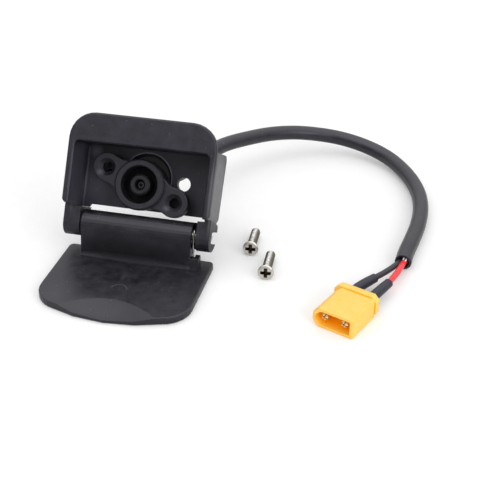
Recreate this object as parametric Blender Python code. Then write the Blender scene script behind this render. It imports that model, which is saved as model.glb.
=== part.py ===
"""Charge port inlet: a moulded housing with a sprung hinged cover, a two-ear charging socket,
its cable with a two-pin connector, and the two screws that hold the socket.

It stands on its open cover, with the housing leaning back on the hinge and the cable on the floor.
Metres, +Z up. The origin is the middle of the cover's outer face, which lies on the floor.
"""
import bpy
import bmesh
from math import acos, asin, atan2, ceil, cos, pi, radians, sin, sqrt, tau
from mathutils import Matrix, Vector

# Clearances
GAP = 0.0003
SNUG = 0.0002
OVERLAP = 0.0004

# The half width that flange and ears share, and that cover, box and hinge follow
HALF_WIDTH = 0.0184

# Cover, flat on the floor with its inner side up
COVER_OVERHANG = 0.00015
COVER_LIP = 0.0015
COVER_THICKNESS = 0.00197
COVER_CORNER_RADIUS = 0.007
COVER_BOW_RADIUS = 0.036
COVER_BACK_CORNER_RADIUS = 0.0012
COVER_EDGE_ROUND = 0.0005
SCOOP_RADIUS = 0.095
SCOOP_LENGTH = 0.0071
SCOOP_DEPTH = 0.00108
SCOOP_RUN_IN = 0.002
NECK_FRONT = 0.0042
NECK_BACK = 0.0010
NECK_FILLET = 0.0006

# Hinge: barrel on the cover, two ears on the housing, pin and torsion spring
FLANGE_FRONT = 0.00627
CLOSED_GAP = 0.00035
HOUSING_ASIDE = -0.0002
LEAN_BACK = radians(30.5)
BARREL_RADIUS = 0.00325
EAR_WIDTH_LEFT = 0.0041
EAR_WIDTH_RIGHT = 0.0033
BARREL_END_GAP = 0.00034
SPRING_GAP = 0.0013
PIN_RADIUS = 0.00115
PIN_INSET = 0.0002
PIN_CHAMFER = 0.0002
SPRING_WIRE_RADIUS = 0.000225
SPRING_COIL_RADIUS = 0.0019
SPRING_TURNS = 6
SPRING_POCKET_DEPTH = 0.0048
SPRING_LEG_FORWARD = 0.0030
LEDGE_HEIGHT = 0.0028
LEDGE_SIDE = 0.0011
LEDGE_FRONT_WALL = 0.0004
LEDGE_NOTCH = 0.0007
EAR_FRONT = 0.0034
EAR_BACK = 0.0042
EAR_BOTTOM_RADIUS = 0.0034
EAR_STEP_DEPTH = 0.0008
EAR_STEP_HEIGHT = 0.0006
EAR_STEP_DROP = 0.0010
EAR_EDGE_ROUND = 0.0003

# Housing, in its own upright frame about the hinge axis
FLANGE_BOTTOM = 0.0043
FLANGE_TOP = 0.0265
FLANGE_CORNER_RADIUS = 0.0064
FLANGE_FOOT_RADIUS = 0.0011
FLANGE_THICKNESS = 0.0016
FLANGE_EDGE_ROUND = 0.00045
BOX_INSET = 0.0004
BOX_TOP = 0.0203
BOX_BACK_TOP = 0.0068
BOX_BACK_BOTTOM = 0.0056
BOX_SHOULDER_RADIUS = 0.0015
SIDE_WALL = 0.0012
TOP_WALL = 0.0008
REAR_WALL_STEP = 0.0004
RECESS_CORNER_RADIUS = 0.0013
RECESS_LIP_CHAMFER = 0.0003
WALL_FRONT = 0.00416
WALL_THICKNESS = 0.0017
WALL_BOTTOM = 0.00455
SLOT_BEYOND_LEFT = 0.0005
SLOT_BEYOND_RIGHT = -0.0005
EAR_RELIEF = 0.0006
CABLE_HOLE_RADIUS = 0.0062
CABLE_HOLE_X = -0.0009
CABLE_HOLE_Z = 0.0125
SCREW_PITCH = 0.0190
SCREW_HOLE_RADIUS = 0.00172
SCREW_HOLE_Z = 0.0121

# Socket, unscrewed and turned in the housing
SOCKET_TURN = radians(21.1)
SOCKET_DROP = 0.00185
DISC_RADIUS = 0.00625
DISC_RISE = 0.0010
EAR_PLATE_THICKNESS = 0.0020
SOCKET_EAR_RADIUS = 0.0036
SOCKET_EAR_FILLET = 0.0050
EAR_HOLE_RADIUS = 0.0013
COUNTERSINK_RADIUS = 0.0022
COUNTERSINK_DEPTH = 0.0009
BORE_RADIUS = 0.0046
BORE_FLOOR = 0.0012
CUP_RADIUS = 0.0059
CUP_LENGTH = 0.00286
CORE_RADIUS = 0.00255
CORE_SET_BACK = 0.0006
CORE_CHAMFER = 0.0004
CORE_HOLE_RADIUS = 0.0013
CONTACT_WALL = 0.0003
CONTACT_SET_BACK = 0.0016
KEY_WIDTH = 0.0011
KEY_DEPTH = 0.0007
KEY_ANGLE = radians(-28)
KEY_LENGTH = 0.0030

# Strain relief: a collar in the cable hole and a ribbed boot that bends with the cable
COLLAR_RECESS = 0.0009
COLLAR_LENGTH = 0.0026
COLLAR_FLANGE_RADIUS = 0.0065
BOOT_NECK_RADIUS = 0.0030
BOOT_RADIUS = 0.0042
BOOT_LENGTH = 0.0120
BOOT_TIP_RADIUS = 0.0026
BOOT_RIB_DEPTH = 0.0004
BOOT_RIBS = 5
BOOT_BEND_RADIUS = 0.0240
BOOT_BEND_ASIDE = 0.75

# Cable and leads
CABLE_RADIUS = 0.00205
LEAD_RADIUS = 0.00073
SLEEVE_RADIUS = 0.0012
LEAD_SPREAD = 0.0008
LEADS_LENGTH = 0.0321
LEADS_ASIDE = 0.0011
FLOOR_LIFT = 0.00003
CORD_POINT_SPACING = 2.2
LOOP_DEPTH = 0.046

# Two-pin connector, lying on the floor
CONNECTOR_X = 0.05067
CONNECTOR_Y = -0.00473
CONNECTOR_TURN = radians(-21.04)
CONNECTOR_HALF_WIDTH = 0.00517
CONNECTOR_HEIGHT = 0.00515
CONNECTOR_SHELL_LENGTH = 0.0098
CONNECTOR_LENGTH = 0.0122
CONNECTOR_CHAMFER = 0.0015
CONNECTOR_EDGE_ROUND = 0.00035
CONNECTOR_WALL = 0.00078
CONNECTOR_CAVITY_DEPTH = 0.0074
CONNECTOR_CORNER_ROUND = 0.0004
CONNECTOR_SLOPE_ROUND = 0.0012
CAP_LIP = 0.00035
CAP_CHAMFER = 0.0013
CAP_REAR_CHAMFER = 0.0007
CONTACT_PITCH = 0.0050
CONTACT_RADIUS = 0.0010
CONTACT_RECESS = 0.0008
CONTACT_SLIT = 0.00028
CONTACT_SLIT_DEPTH = 0.0030
CONTACT_SLIT_TURN = radians(20)

# Screws, lying on the floor
SCREW_HEAD_RADIUS = 0.00195
SCREW_HEAD_DOME = 0.0004
SCREW_HEAD_RIM = 0.00025
SCREW_SHANK_RADIUS = 0.00108
SCREW_LENGTH = 0.0102
SCREW_TIP_CHAMFER = 0.0004
CROSS_WIDTH = 0.0007
CROSS_SPAN = 0.0027
CROSS_DEPTH = 0.0011
SCREW_PLACES = (
    ((0.02575, 0.02161), radians(4.9)),
    ((0.03180, 0.01190), radians(4.9)),
)

# Sides of round pieces
FINE_SIDES = 40
PLAIN_SIDES = 28
SMALL_SIDES = 20
SCOOP_SIDES = 180
ARC_STEP = radians(13)
SMOOTH_ANGLE = radians(32)

# Sizes that follow from the ones above
COVER_HALF_WIDTH = HALF_WIDTH + COVER_OVERHANG
COVER_REACH = FLANGE_TOP + COVER_LIP
BOX_HALF_WIDTH = HALF_WIDTH - BOX_INSET
RECESS_HALF_WIDTH = BOX_HALF_WIDTH - SIDE_WALL
REAR_POCKET_HALF_WIDTH = RECESS_HALF_WIDTH - REAR_WALL_STEP
RECESS_TOP = BOX_TOP - TOP_WALL
REAR_POCKET_TOP = max(RECESS_TOP - SNUG, CABLE_HOLE_Z + COLLAR_FLANGE_RADIUS + GAP)
EAR_TOP = FLANGE_BOTTOM
BAY_LEFT = -HALF_WIDTH + EAR_WIDTH_LEFT
BAY_RIGHT = HALF_WIDTH - EAR_WIDTH_RIGHT
SLOT_LEFT = BAY_LEFT - SLOT_BEYOND_LEFT
SLOT_RIGHT = BAY_RIGHT + SLOT_BEYOND_RIGHT
RECESS_FLOOR = EAR_TOP - EAR_RELIEF
PIN_END = HALF_WIDTH - PIN_INSET
COVER_FACE = FLANGE_FRONT + CLOSED_GAP
HINGE = Vector((0.0, COVER_REACH / 2, COVER_THICKNESS + COVER_FACE))
HOUSING_SEAT = HINGE + Vector((HOUSING_ASIDE, 0.0, 0.0))
BARREL_LEFT = BAY_LEFT + HOUSING_ASIDE + BARREL_END_GAP
BARREL_RIGHT = BAY_RIGHT + HOUSING_ASIDE - SPRING_GAP
PIN_BORE_RADIUS = PIN_RADIUS + GAP
SPRING_POCKET_RADIUS = SPRING_COIL_RADIUS + SPRING_WIRE_RADIUS + GAP
LEG_SLOT = 2 * (SPRING_WIRE_RADIUS + GAP)
WALL_BACK = WALL_FRONT + WALL_THICKNESS
SOCKET_BACK = WALL_FRONT - GAP
SOCKET_EAR_BACK = SOCKET_BACK - CUP_LENGTH
SOCKET_EAR_FRONT = SOCKET_EAR_BACK - EAR_PLATE_THICKNESS
SOCKET_FRONT = SOCKET_EAR_FRONT - DISC_RISE
SOCKET_FLOOR = SOCKET_BACK - BORE_FLOOR
SOCKET_CENTRE = Vector((CABLE_HOLE_X, 0.0, CABLE_HOLE_Z - SOCKET_DROP))
BOOT_CENTRE = Vector((CABLE_HOLE_X, 0.0, CABLE_HOLE_Z))
COLLAR_FRONT = WALL_FRONT + COLLAR_RECESS
COLLAR_BACK = COLLAR_FRONT + COLLAR_LENGTH
BOOT_END = COLLAR_BACK + BOOT_LENGTH

MATERIALS = {
    "black_plastic": ((0.033, 0.032, 0.038), 0.45, 0.0),
    "socket_plastic": ((0.040, 0.040, 0.047), 0.50, 0.0),
    "steel": ((0.62, 0.61, 0.59), 0.28, 1.0),
    "contact_metal": ((0.70, 0.66, 0.56), 0.25, 1.0),
    "boot_rubber": ((0.028, 0.028, 0.031), 0.62, 0.0),
    "cable_grey": ((0.055, 0.055, 0.060), 0.48, 0.0),
    "red_wire": ((0.80, 0.025, 0.028), 0.40, 0.0),
    "black_wire": ((0.035, 0.035, 0.042), 0.45, 0.0),
    "heat_shrink": ((0.030, 0.030, 0.040), 0.55, 0.0),
    "yellow_nylon": ((0.93, 0.58, 0.07), 0.38, 0.0),
    "gold": ((0.90, 0.66, 0.30), 0.22, 1.0),
}


# Scene, materials and objects

def clear_scene():
    for item in list(bpy.data.objects):
        bpy.data.objects.remove(item, do_unlink=True)


def material(name):
    found = bpy.data.materials.get(name)
    if found:
        return found
    colour, roughness, metallic = MATERIALS[name]
    made = bpy.data.materials.new(name)
    made.use_nodes = True
    shader = made.node_tree.nodes["Principled BSDF"]
    shader.inputs["Base Color"].default_value = (*colour, 1.0)
    shader.inputs["Roughness"].default_value = roughness
    shader.inputs["Metallic"].default_value = metallic
    return made


def add_object(name, data, material_name=None, parent=None):
    item = bpy.data.objects.new(name, data)
    bpy.context.scene.collection.objects.link(item)
    item.parent = parent
    if material_name:
        data.materials.append(material(material_name))
    return item


def add_empty(name, place, turn=None, parent=None):
    empty = add_object(name, None, parent=parent)
    empty.location = place
    if turn:
        empty.rotation_euler = turn
    return empty


def add_mesh(name, bm, material_name=None, parent=None, smooth=True):
    bmesh.ops.recalc_face_normals(bm, faces=bm.faces)
    mesh = bpy.data.meshes.new(name)
    bm.to_mesh(mesh)
    bm.free()
    if smooth:
        mesh.shade_smooth()
        mesh.set_sharp_from_angle(angle=SMOOTH_ANGLE)
    return add_object(name, mesh, material_name, parent)


def combine(target, tool, operation):
    """Cuts the tool out of the target, or joins it on, and hides the tool."""
    step = target.modifiers.new(tool.name, "BOOLEAN")
    step.operation = operation
    step.solver = "EXACT"
    step.object = tool
    tool.hide_render = True
    tool.display_type = "WIRE"


def cut(target, name, bm):
    combine(target, add_mesh("cut_" + name, bm, parent=target), "DIFFERENCE")


def join(target, name, bm):
    combine(target, add_mesh("join_" + name, bm, parent=target), "UNION")


# Outlines and solids

def rounded(corners):
    """Closed outline through (u, v, radius) corners, each rounded by an arc."""
    points = []
    for index, (u, v, radius) in enumerate(corners):
        here = Vector((u, v))
        before = Vector(corners[index - 1][:2]) - here
        after = Vector(corners[(index + 1) % len(corners)][:2]) - here
        if radius <= 0:
            points.append(here)
            continue
        half = before.angle(after) / 2
        centre = here + (before.normalized() + after.normalized()).normalized() * radius / sin(half)
        start = here + before.normalized() * radius / abs(sin(half) / cos(half)) - centre
        end = here + after.normalized() * radius / abs(sin(half) / cos(half)) - centre
        sweep = atan2(start.x * end.y - start.y * end.x, start.dot(end))
        steps = max(2, ceil(abs(sweep) / ARC_STEP))
        for step in range(steps + 1):
            points.append(centre + Matrix.Rotation(sweep * step / steps, 2) @ start)
    return points


def arc(centre, radius, start, end):
    """Points from one angle to the other about a centre."""
    steps = max(2, ceil(abs(end - start) / ARC_STEP))
    angles = [start + (end - start) * step / steps for step in range(steps + 1)]
    return [Vector((centre[0] + radius * cos(a), centre[1] + radius * sin(a))) for a in angles]


def box_outline(u0, u1, v0, v1):
    return [Vector((u0, v0)), Vector((u1, v0)), Vector((u1, v1)), Vector((u0, v1))]


def place(axis, point, along):
    """A point of an outline that is extruded along x, y or z."""
    if axis == "x":
        return Vector((along, point[0], point[1]))
    if axis == "y":
        return Vector((point[0], along, point[1]))
    return Vector((point[0], point[1], along))


def prism(axis, outline, low, high, round_low=0.0, round_high=0.0):
    """Outline extruded along an axis, with its end edges rounded."""
    bm = bmesh.new()
    bottom = bm.faces.new([bm.verts.new(place(axis, point, low)) for point in outline])
    top = bmesh.ops.extrude_face_region(bm, geom=[bottom])
    moved = [item for item in top["geom"] if isinstance(item, bmesh.types.BMVert)]
    bmesh.ops.translate(bm, verts=moved, vec=place(axis, (0.0, 0.0), high - low))
    lid = next(item for item in top["geom"] if isinstance(item, bmesh.types.BMFace))
    for face, width in ((bottom, round_low), (lid, round_high)):
        if width > 0:
            bmesh.ops.bevel(bm, geom=list(face.edges), offset=width, segments=2, profile=0.5,
                            affect="EDGES", clamp_overlap=True)
    return bm


def loft(axis, rings):
    """Skin through matching outlines, each at its own place along the axis."""
    bm = bmesh.new()
    loops = [[bm.verts.new(place(axis, point, along)) for point in outline]
             for outline, along in rings]
    for near, far in zip(loops, loops[1:]):
        for index in range(len(near)):
            after = (index + 1) % len(near)
            bm.faces.new((near[index], near[after], far[after], far[index]))
    bm.faces.new(loops[0])
    bm.faces.new(loops[-1])
    return bm


def turned(profile, sides, matrix=None):
    """Profile of (radius, height) points, from axis to axis, spun about Z."""
    bm = bmesh.new()
    line = [bm.verts.new((radius, 0.0, height)) for radius, height in profile]
    edges = [bm.edges.new(pair) for pair in zip(line, line[1:])]
    bmesh.ops.spin(bm, geom=line + edges, cent=(0, 0, 0), axis=(0, 0, 1), angle=tau,
                   steps=sides, use_merge=True)
    bmesh.ops.remove_doubles(bm, verts=bm.verts, dist=1e-7)
    if matrix:
        bmesh.ops.transform(bm, matrix=matrix, verts=bm.verts)
    return bm


def rod(radius, low, high, sides, matrix, chamfer=0.0):
    profile = [(0.0, low), (radius - chamfer, low), (radius, low + chamfer),
               (radius, high - chamfer), (radius - chamfer, high), (0.0, high)]
    if chamfer <= 0:
        profile = [(0.0, low), (radius, low), (radius, high), (0.0, high)]
    return turned(profile, sides, matrix)


def along_x(y=0.0, z=0.0):
    return Matrix.Translation((0, y, z)) @ Matrix.Rotation(pi / 2, 4, "Y")


def along_y(x=0.0, z=0.0):
    """Turns a profile's height into a place along +Y."""
    return Matrix.Translation((x, 0, z)) @ Matrix.Rotation(-pi / 2, 4, "X")


# Cover with its neck and hinge barrel

def cover_outline():
    """Straight sides, wide front corners and a bowed front edge, about the hinge axis."""
    bow = Vector((0.0, COVER_BOW_RADIUS - COVER_REACH))
    corner_x = COVER_HALF_WIDTH - COVER_CORNER_RADIUS
    inner = COVER_BOW_RADIUS - COVER_CORNER_RADIUS
    corner_y = bow.y - sqrt(inner ** 2 - corner_x ** 2)
    tangent = atan2(corner_y - bow.y, corner_x)
    back = COVER_BACK_CORNER_RADIUS
    right = arc((corner_x, corner_y), COVER_CORNER_RADIUS, tangent, 0.0)
    right += arc((COVER_HALF_WIDTH - back, -back), back, 0.0, pi / 2)
    left = [Vector((-point.x, point.y)) for point in reversed(right)]
    front = arc(bow, COVER_BOW_RADIUS, -pi - tangent, tangent)
    return right + left + front[1:-1]


def neck_outline():
    """Side view of neck and barrel: round at the hinge, down to the cover at the front."""
    foot = Vector((-NECK_FRONT, -COVER_FACE))
    turn = acos(BARREL_RADIUS / foot.length)
    front = atan2(foot.y, foot.x) + tau - turn
    back = -asin(min(NECK_BACK / BARREL_RADIUS, 0.99)) - pi / 2
    round_part = arc((0.0, 0.0), BARREL_RADIUS, front, back)
    sunk = -COVER_FACE - OVERLAP
    slope = Vector((cos(front), sin(front))) * BARREL_RADIUS - foot
    lift = NECK_FILLET
    start = foot + slope.normalized() * lift
    end = foot + Vector((-lift, 0.0))
    fillet = [start.lerp(foot, t).lerp(foot.lerp(end, t), t) for t in (1.0, 0.5, 0.0)]
    return round_part + [Vector((-NECK_BACK, sunk)), Vector((end.x, sunk))] + fillet


def build_cover():
    floor = -HINGE.z
    cover = add_mesh("cover", prism("z", cover_outline(), floor, -COVER_FACE,
                                    COVER_EDGE_ROUND, COVER_EDGE_ROUND / 2), "black_plastic")
    cover.location = HINGE
    slope = atan2(SCOOP_DEPTH, SCOOP_LENGTH)
    apex = Vector((0.0, -COVER_REACH + SCOOP_LENGTH, -COVER_FACE))
    tilt = (Matrix.Translation(apex) @ Matrix.Rotation(slope, 4, "X")
            @ Matrix.Translation((0.0, SCOOP_RUN_IN, SCOOP_RADIUS)) @ Matrix.Rotation(pi / 2, 4, "X"))
    scoop = rod(SCOOP_RADIUS, 0.0, COVER_REACH, SCOOP_SIDES, tilt)
    cut(cover, "finger_scoop", scoop)
    join(cover, "neck", prism("x", neck_outline(), BARREL_LEFT, BARREL_RIGHT))
    ledge_left = BARREL_RIGHT - OVERLAP
    ledge_right = BARREL_RIGHT + LEG_SLOT + LEDGE_SIDE
    ledge_top = -COVER_FACE + LEDGE_HEIGHT
    ledge = box_outline(-NECK_FRONT, -NECK_FRONT / 2, -COVER_FACE - OVERLAP, ledge_top)
    join(cover, "spring_ledge", prism("x", ledge, ledge_left, ledge_right))
    slot = box_outline(-NECK_FRONT + LEDGE_FRONT_WALL, -NECK_FRONT / 2 + OVERLAP,
                       ledge_top - LEDGE_NOTCH, ledge_top + OVERLAP)
    cut(cover, "spring_slot", prism("x", slot, BARREL_RIGHT, BARREL_RIGHT + LEG_SLOT))
    cut(cover, "pin_bore", rod(PIN_BORE_RADIUS, BARREL_LEFT - OVERLAP, BARREL_RIGHT + OVERLAP,
                               PLAIN_SIDES, along_x()))
    cut(cover, "spring_pocket", rod(SPRING_POCKET_RADIUS, BARREL_RIGHT - SPRING_POCKET_DEPTH,
                                    BARREL_RIGHT + OVERLAP, PLAIN_SIDES, along_x()))
    return cover


# Housing

def ear_corners():
    """Side view of an ear: down its front, round the bottom and up to the step in its back."""
    step = EAR_TOP - EAR_STEP_DROP
    return [
        (-EAR_FRONT, EAR_TOP, 0.0),
        (-EAR_FRONT, -EAR_BOTTOM_RADIUS, EAR_BOTTOM_RADIUS * 0.9),
        (EAR_BACK, -EAR_BOTTOM_RADIUS, EAR_BOTTOM_RADIUS * 1.25),
        (EAR_BACK, step - EAR_STEP_HEIGHT, EAR_EDGE_ROUND),
        (EAR_BACK - EAR_STEP_DEPTH, step, EAR_EDGE_ROUND),
    ]


def side_outline():
    """Side view of the box on its ears: shoulder, sloping back and the round ears below."""
    front = -FLANGE_FRONT + FLANGE_THICKNESS / 2
    return rounded([(front, BOX_TOP, 0.0), (front, EAR_TOP, 0.0)] + ear_corners() + [
        (BOX_BACK_BOTTOM, WALL_BOTTOM, EAR_EDGE_ROUND),
        (BOX_BACK_TOP, BOX_TOP, BOX_SHOULDER_RADIUS)])


def arch_outline():
    return rounded([
        (-HALF_WIDTH, FLANGE_BOTTOM, FLANGE_FOOT_RADIUS),
        (HALF_WIDTH, FLANGE_BOTTOM, FLANGE_FOOT_RADIUS),
        (HALF_WIDTH, FLANGE_TOP, FLANGE_CORNER_RADIUS),
        (-HALF_WIDTH, FLANGE_TOP, FLANGE_CORNER_RADIUS),
    ])


def recess_outline(grow=0.0):
    half = RECESS_HALF_WIDTH + grow
    top = RECESS_TOP + grow
    radius = RECESS_CORNER_RADIUS + grow
    low = RECESS_FLOOR
    return rounded([(-half, low, 0.0), (half, low, 0.0), (half, top, radius), (-half, top, radius)])


def cut_pin_seats(housing):
    """Open slots in the back of both ears, round at the pin."""
    half = PIN_BORE_RADIUS
    outline = arc((0.0, 0.0), half, pi / 2, 3 * pi / 2)
    outline += [Vector((EAR_BACK + OVERLAP, -half)), Vector((EAR_BACK + OVERLAP, half))]
    for name, low, high in (
        ("left", -HALF_WIDTH - OVERLAP, BAY_LEFT + OVERLAP),
        ("right", BAY_RIGHT - OVERLAP, HALF_WIDTH + OVERLAP),
    ):
        cut(housing, "pin_seat_" + name, prism("x", outline, low, high))


def build_housing(lean):
    front = -FLANGE_FRONT
    housing = add_mesh("housing", prism("x", side_outline(), -BOX_HALF_WIDTH, BOX_HALF_WIDTH),
                       "black_plastic", lean)
    join(housing, "flange", prism("y", arch_outline(), front, front + FLANGE_THICKNESS,
                                  FLANGE_EDGE_ROUND, 0.0))
    for name, inner, outer in (("left", BAY_LEFT, -HALF_WIDTH), ("right", BAY_RIGHT, HALF_WIDTH)):
        join(housing, "ear_" + name, prism("x", rounded(ear_corners()), *sorted((inner, outer))))
    before = front - OVERLAP
    cut(housing, "recess", prism("y", recess_outline(), before, WALL_FRONT))
    cut(housing, "recess_lip", loft("y", [
        (recess_outline(RECESS_LIP_CHAMFER + OVERLAP), before),
        (recess_outline(0.0), front + RECESS_LIP_CHAMFER)]))
    bay = box_outline(before, WALL_FRONT - SNUG, -2 * EAR_BACK, EAR_TOP + OVERLAP)
    cut(housing, "hinge_bay", prism("x", bay, BAY_LEFT, BAY_RIGHT))
    slant = (WALL_BOTTOM - RECESS_FLOOR) / 2
    below = -2 * EAR_BACK
    slot = [Vector(point) for point in (
        (SLOT_LEFT, WALL_BOTTOM), (SLOT_LEFT, RECESS_FLOOR), (BAY_LEFT, RECESS_FLOOR), (BAY_LEFT, below),
        (BAY_RIGHT, below), (BAY_RIGHT, RECESS_FLOOR), (SLOT_RIGHT + slant, RECESS_FLOOR),
        (SLOT_RIGHT, WALL_BOTTOM))]
    cut(housing, "rear_slot", prism("y", slot, WALL_FRONT - OVERLAP, 2 * BOX_BACK_TOP))
    pocket = rounded([
        (-REAR_POCKET_HALF_WIDTH, WALL_BOTTOM - OVERLAP, 0.0),
        (REAR_POCKET_HALF_WIDTH, WALL_BOTTOM - OVERLAP, 0.0),
        (REAR_POCKET_HALF_WIDTH, REAR_POCKET_TOP, RECESS_CORNER_RADIUS),
        (-REAR_POCKET_HALF_WIDTH, REAR_POCKET_TOP, RECESS_CORNER_RADIUS)])
    cut(housing, "rear_pocket", prism("y", pocket, WALL_BACK, 2 * BOX_BACK_TOP))
    cut(housing, "cable_hole", rod(CABLE_HOLE_RADIUS, WALL_FRONT - OVERLAP, WALL_BACK + OVERLAP,
                                   FINE_SIDES, along_y(CABLE_HOLE_X, CABLE_HOLE_Z)))
    for name, side in (("left", -1), ("right", 1)):
        hole_x = CABLE_HOLE_X + side * SCREW_PITCH / 2
        cut(housing, "screw_hole_" + name, rod(SCREW_HOLE_RADIUS, WALL_FRONT - OVERLAP,
            WALL_BACK + OVERLAP, SMALL_SIDES, along_y(hole_x, SCREW_HOLE_Z)))
    cut_pin_seats(housing)
    return housing


def build_pin(lean):
    return add_mesh("hinge_pin", rod(PIN_RADIUS, -PIN_END, PIN_END, PLAIN_SIDES, along_x(),
                                     PIN_CHAMFER), "steel", lean)


# Torsion spring around the pin, with one leg down on the cover's ledge

def tube(name, points, radius, material_name, resolution=2):
    curve = bpy.data.curves.new(name, "CURVE")
    curve.dimensions = "3D"
    curve.bevel_depth = radius
    curve.bevel_resolution = resolution
    curve.use_fill_caps = True
    spline = curve.splines.new("POLY")
    spline.points.add(len(points) - 1)
    for target, point in zip(spline.points, points):
        target.co = (*point, 1.0)
    return add_object(name, curve, material_name)


def spring_points():
    """From a short tang by the pin, round the coil, and down the leg to the ledge."""
    rest = -COVER_FACE + LEDGE_HEIGHT - LEDGE_NOTCH
    foot = Vector((-SPRING_LEG_FORWARD, rest + 2 * SPRING_WIRE_RADIUS))
    off = acos(SPRING_COIL_RADIUS / foot.length)
    leave = atan2(foot.y, foot.x) + tau - off
    outer_x = BARREL_RIGHT + LEG_SLOT / 2
    inner_x = BARREL_RIGHT - SPRING_POCKET_DEPTH + SPRING_WIRE_RADIUS + GAP
    per_turn = 14
    count = SPRING_TURNS * per_turn
    tang = PIN_RADIUS + GAP + SPRING_WIRE_RADIUS
    points = []
    for step in range(count + 1):
        angle = leave - tau * SPRING_TURNS * (1 - step / count)
        x = inner_x + (outer_x - inner_x) * step / count
        points.append((x, SPRING_COIL_RADIUS * cos(angle), SPRING_COIL_RADIUS * sin(angle)))
    first = Vector(points[0])
    inward = Vector((first.x, first.y * tang / SPRING_COIL_RADIUS, first.z * tang / SPRING_COIL_RADIUS))
    return [inward] + points + [(outer_x, foot.x, foot.y)]


def build_spring():
    spring = tube("torsion_spring", spring_points(), SPRING_WIRE_RADIUS, "steel")
    spring.location = HINGE
    return spring


# Socket

def socket_outline():
    """Two round ears blended into the middle disc by hollow fillets."""
    ear_x = SCREW_PITCH / 2
    ear = SOCKET_EAR_RADIUS
    fillet = SOCKET_EAR_FILLET
    # The fillet circle touches the disc and the ear from outside.
    a = DISC_RADIUS + fillet
    b = ear + fillet
    x = (a ** 2 - b ** 2 + ear_x ** 2) / (2 * ear_x)
    z = sqrt(a ** 2 - x ** 2)
    at_disc = atan2(z, x)
    at_ear = atan2(z, x - ear_x)
    upper_right = arc((ear_x, 0.0), ear, 0.0, at_ear)
    upper_right += arc((x, z), fillet, at_ear - pi, at_disc - pi)[1:-1]
    upper_right += arc((0.0, 0.0), DISC_RADIUS, at_disc, pi / 2)
    upper_left = [Vector((-p.x, p.y)) for p in reversed(upper_right[:-1])]
    upper = upper_right + upper_left
    lower = [Vector((p.x, -p.y)) for p in reversed(upper[1:-1])]
    return upper + lower


def build_socket(lean):
    seat = add_empty("socket_seat", SOCKET_CENTRE, (0.0, SOCKET_TURN, 0.0), lean)
    body = add_mesh("socket_body", prism("y", socket_outline(), SOCKET_EAR_FRONT, SOCKET_EAR_BACK,
                                         COVER_EDGE_ROUND / 2, 0.0), "socket_plastic", seat)
    rim = SOCKET_FRONT + CORE_CHAMFER
    join(body, "socket_disc", turned([
        (0.0, SOCKET_FRONT), (DISC_RADIUS - CORE_CHAMFER, SOCKET_FRONT), (DISC_RADIUS, rim),
        (DISC_RADIUS, SOCKET_EAR_BACK - OVERLAP), (CUP_RADIUS, SOCKET_EAR_BACK - OVERLAP),
        (CUP_RADIUS, SOCKET_BACK), (0.0, SOCKET_BACK)], FINE_SIDES, along_y()))
    cut(body, "socket_bore", turned([
        (0.0, SOCKET_FRONT - OVERLAP), (BORE_RADIUS + OVERLAP + CORE_CHAMFER / 2, SOCKET_FRONT - OVERLAP),
        (BORE_RADIUS, SOCKET_FRONT + CORE_CHAMFER / 2), (BORE_RADIUS, SOCKET_FLOOR),
        (0.0, SOCKET_FLOOR)], FINE_SIDES, along_y()))
    key = box_outline(BORE_RADIUS - OVERLAP, BORE_RADIUS + KEY_DEPTH, -KEY_WIDTH / 2, KEY_WIDTH / 2)
    key_cut = prism("y", key, SOCKET_FRONT + KEY_DEPTH, SOCKET_FRONT + KEY_DEPTH + KEY_LENGTH)
    bmesh.ops.rotate(key_cut, verts=key_cut.verts, matrix=Matrix.Rotation(-KEY_ANGLE, 3, "Y"))
    cut(body, "key_slot", key_cut)
    for name, side in (("left", -1), ("right", 1)):
        sink = SOCKET_EAR_FRONT + COUNTERSINK_DEPTH
        slope = (COUNTERSINK_RADIUS - EAR_HOLE_RADIUS) / COUNTERSINK_DEPTH
        cut(body, "ear_hole_" + name, turned([
            (0.0, SOCKET_EAR_FRONT - OVERLAP),
            (COUNTERSINK_RADIUS + slope * OVERLAP, SOCKET_EAR_FRONT - OVERLAP),
            (EAR_HOLE_RADIUS, sink), (EAR_HOLE_RADIUS, SOCKET_EAR_BACK + OVERLAP),
            (0.0, SOCKET_EAR_BACK + OVERLAP)], SMALL_SIDES, along_y(side * SCREW_PITCH / 2)))
    build_contacts(seat)


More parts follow.
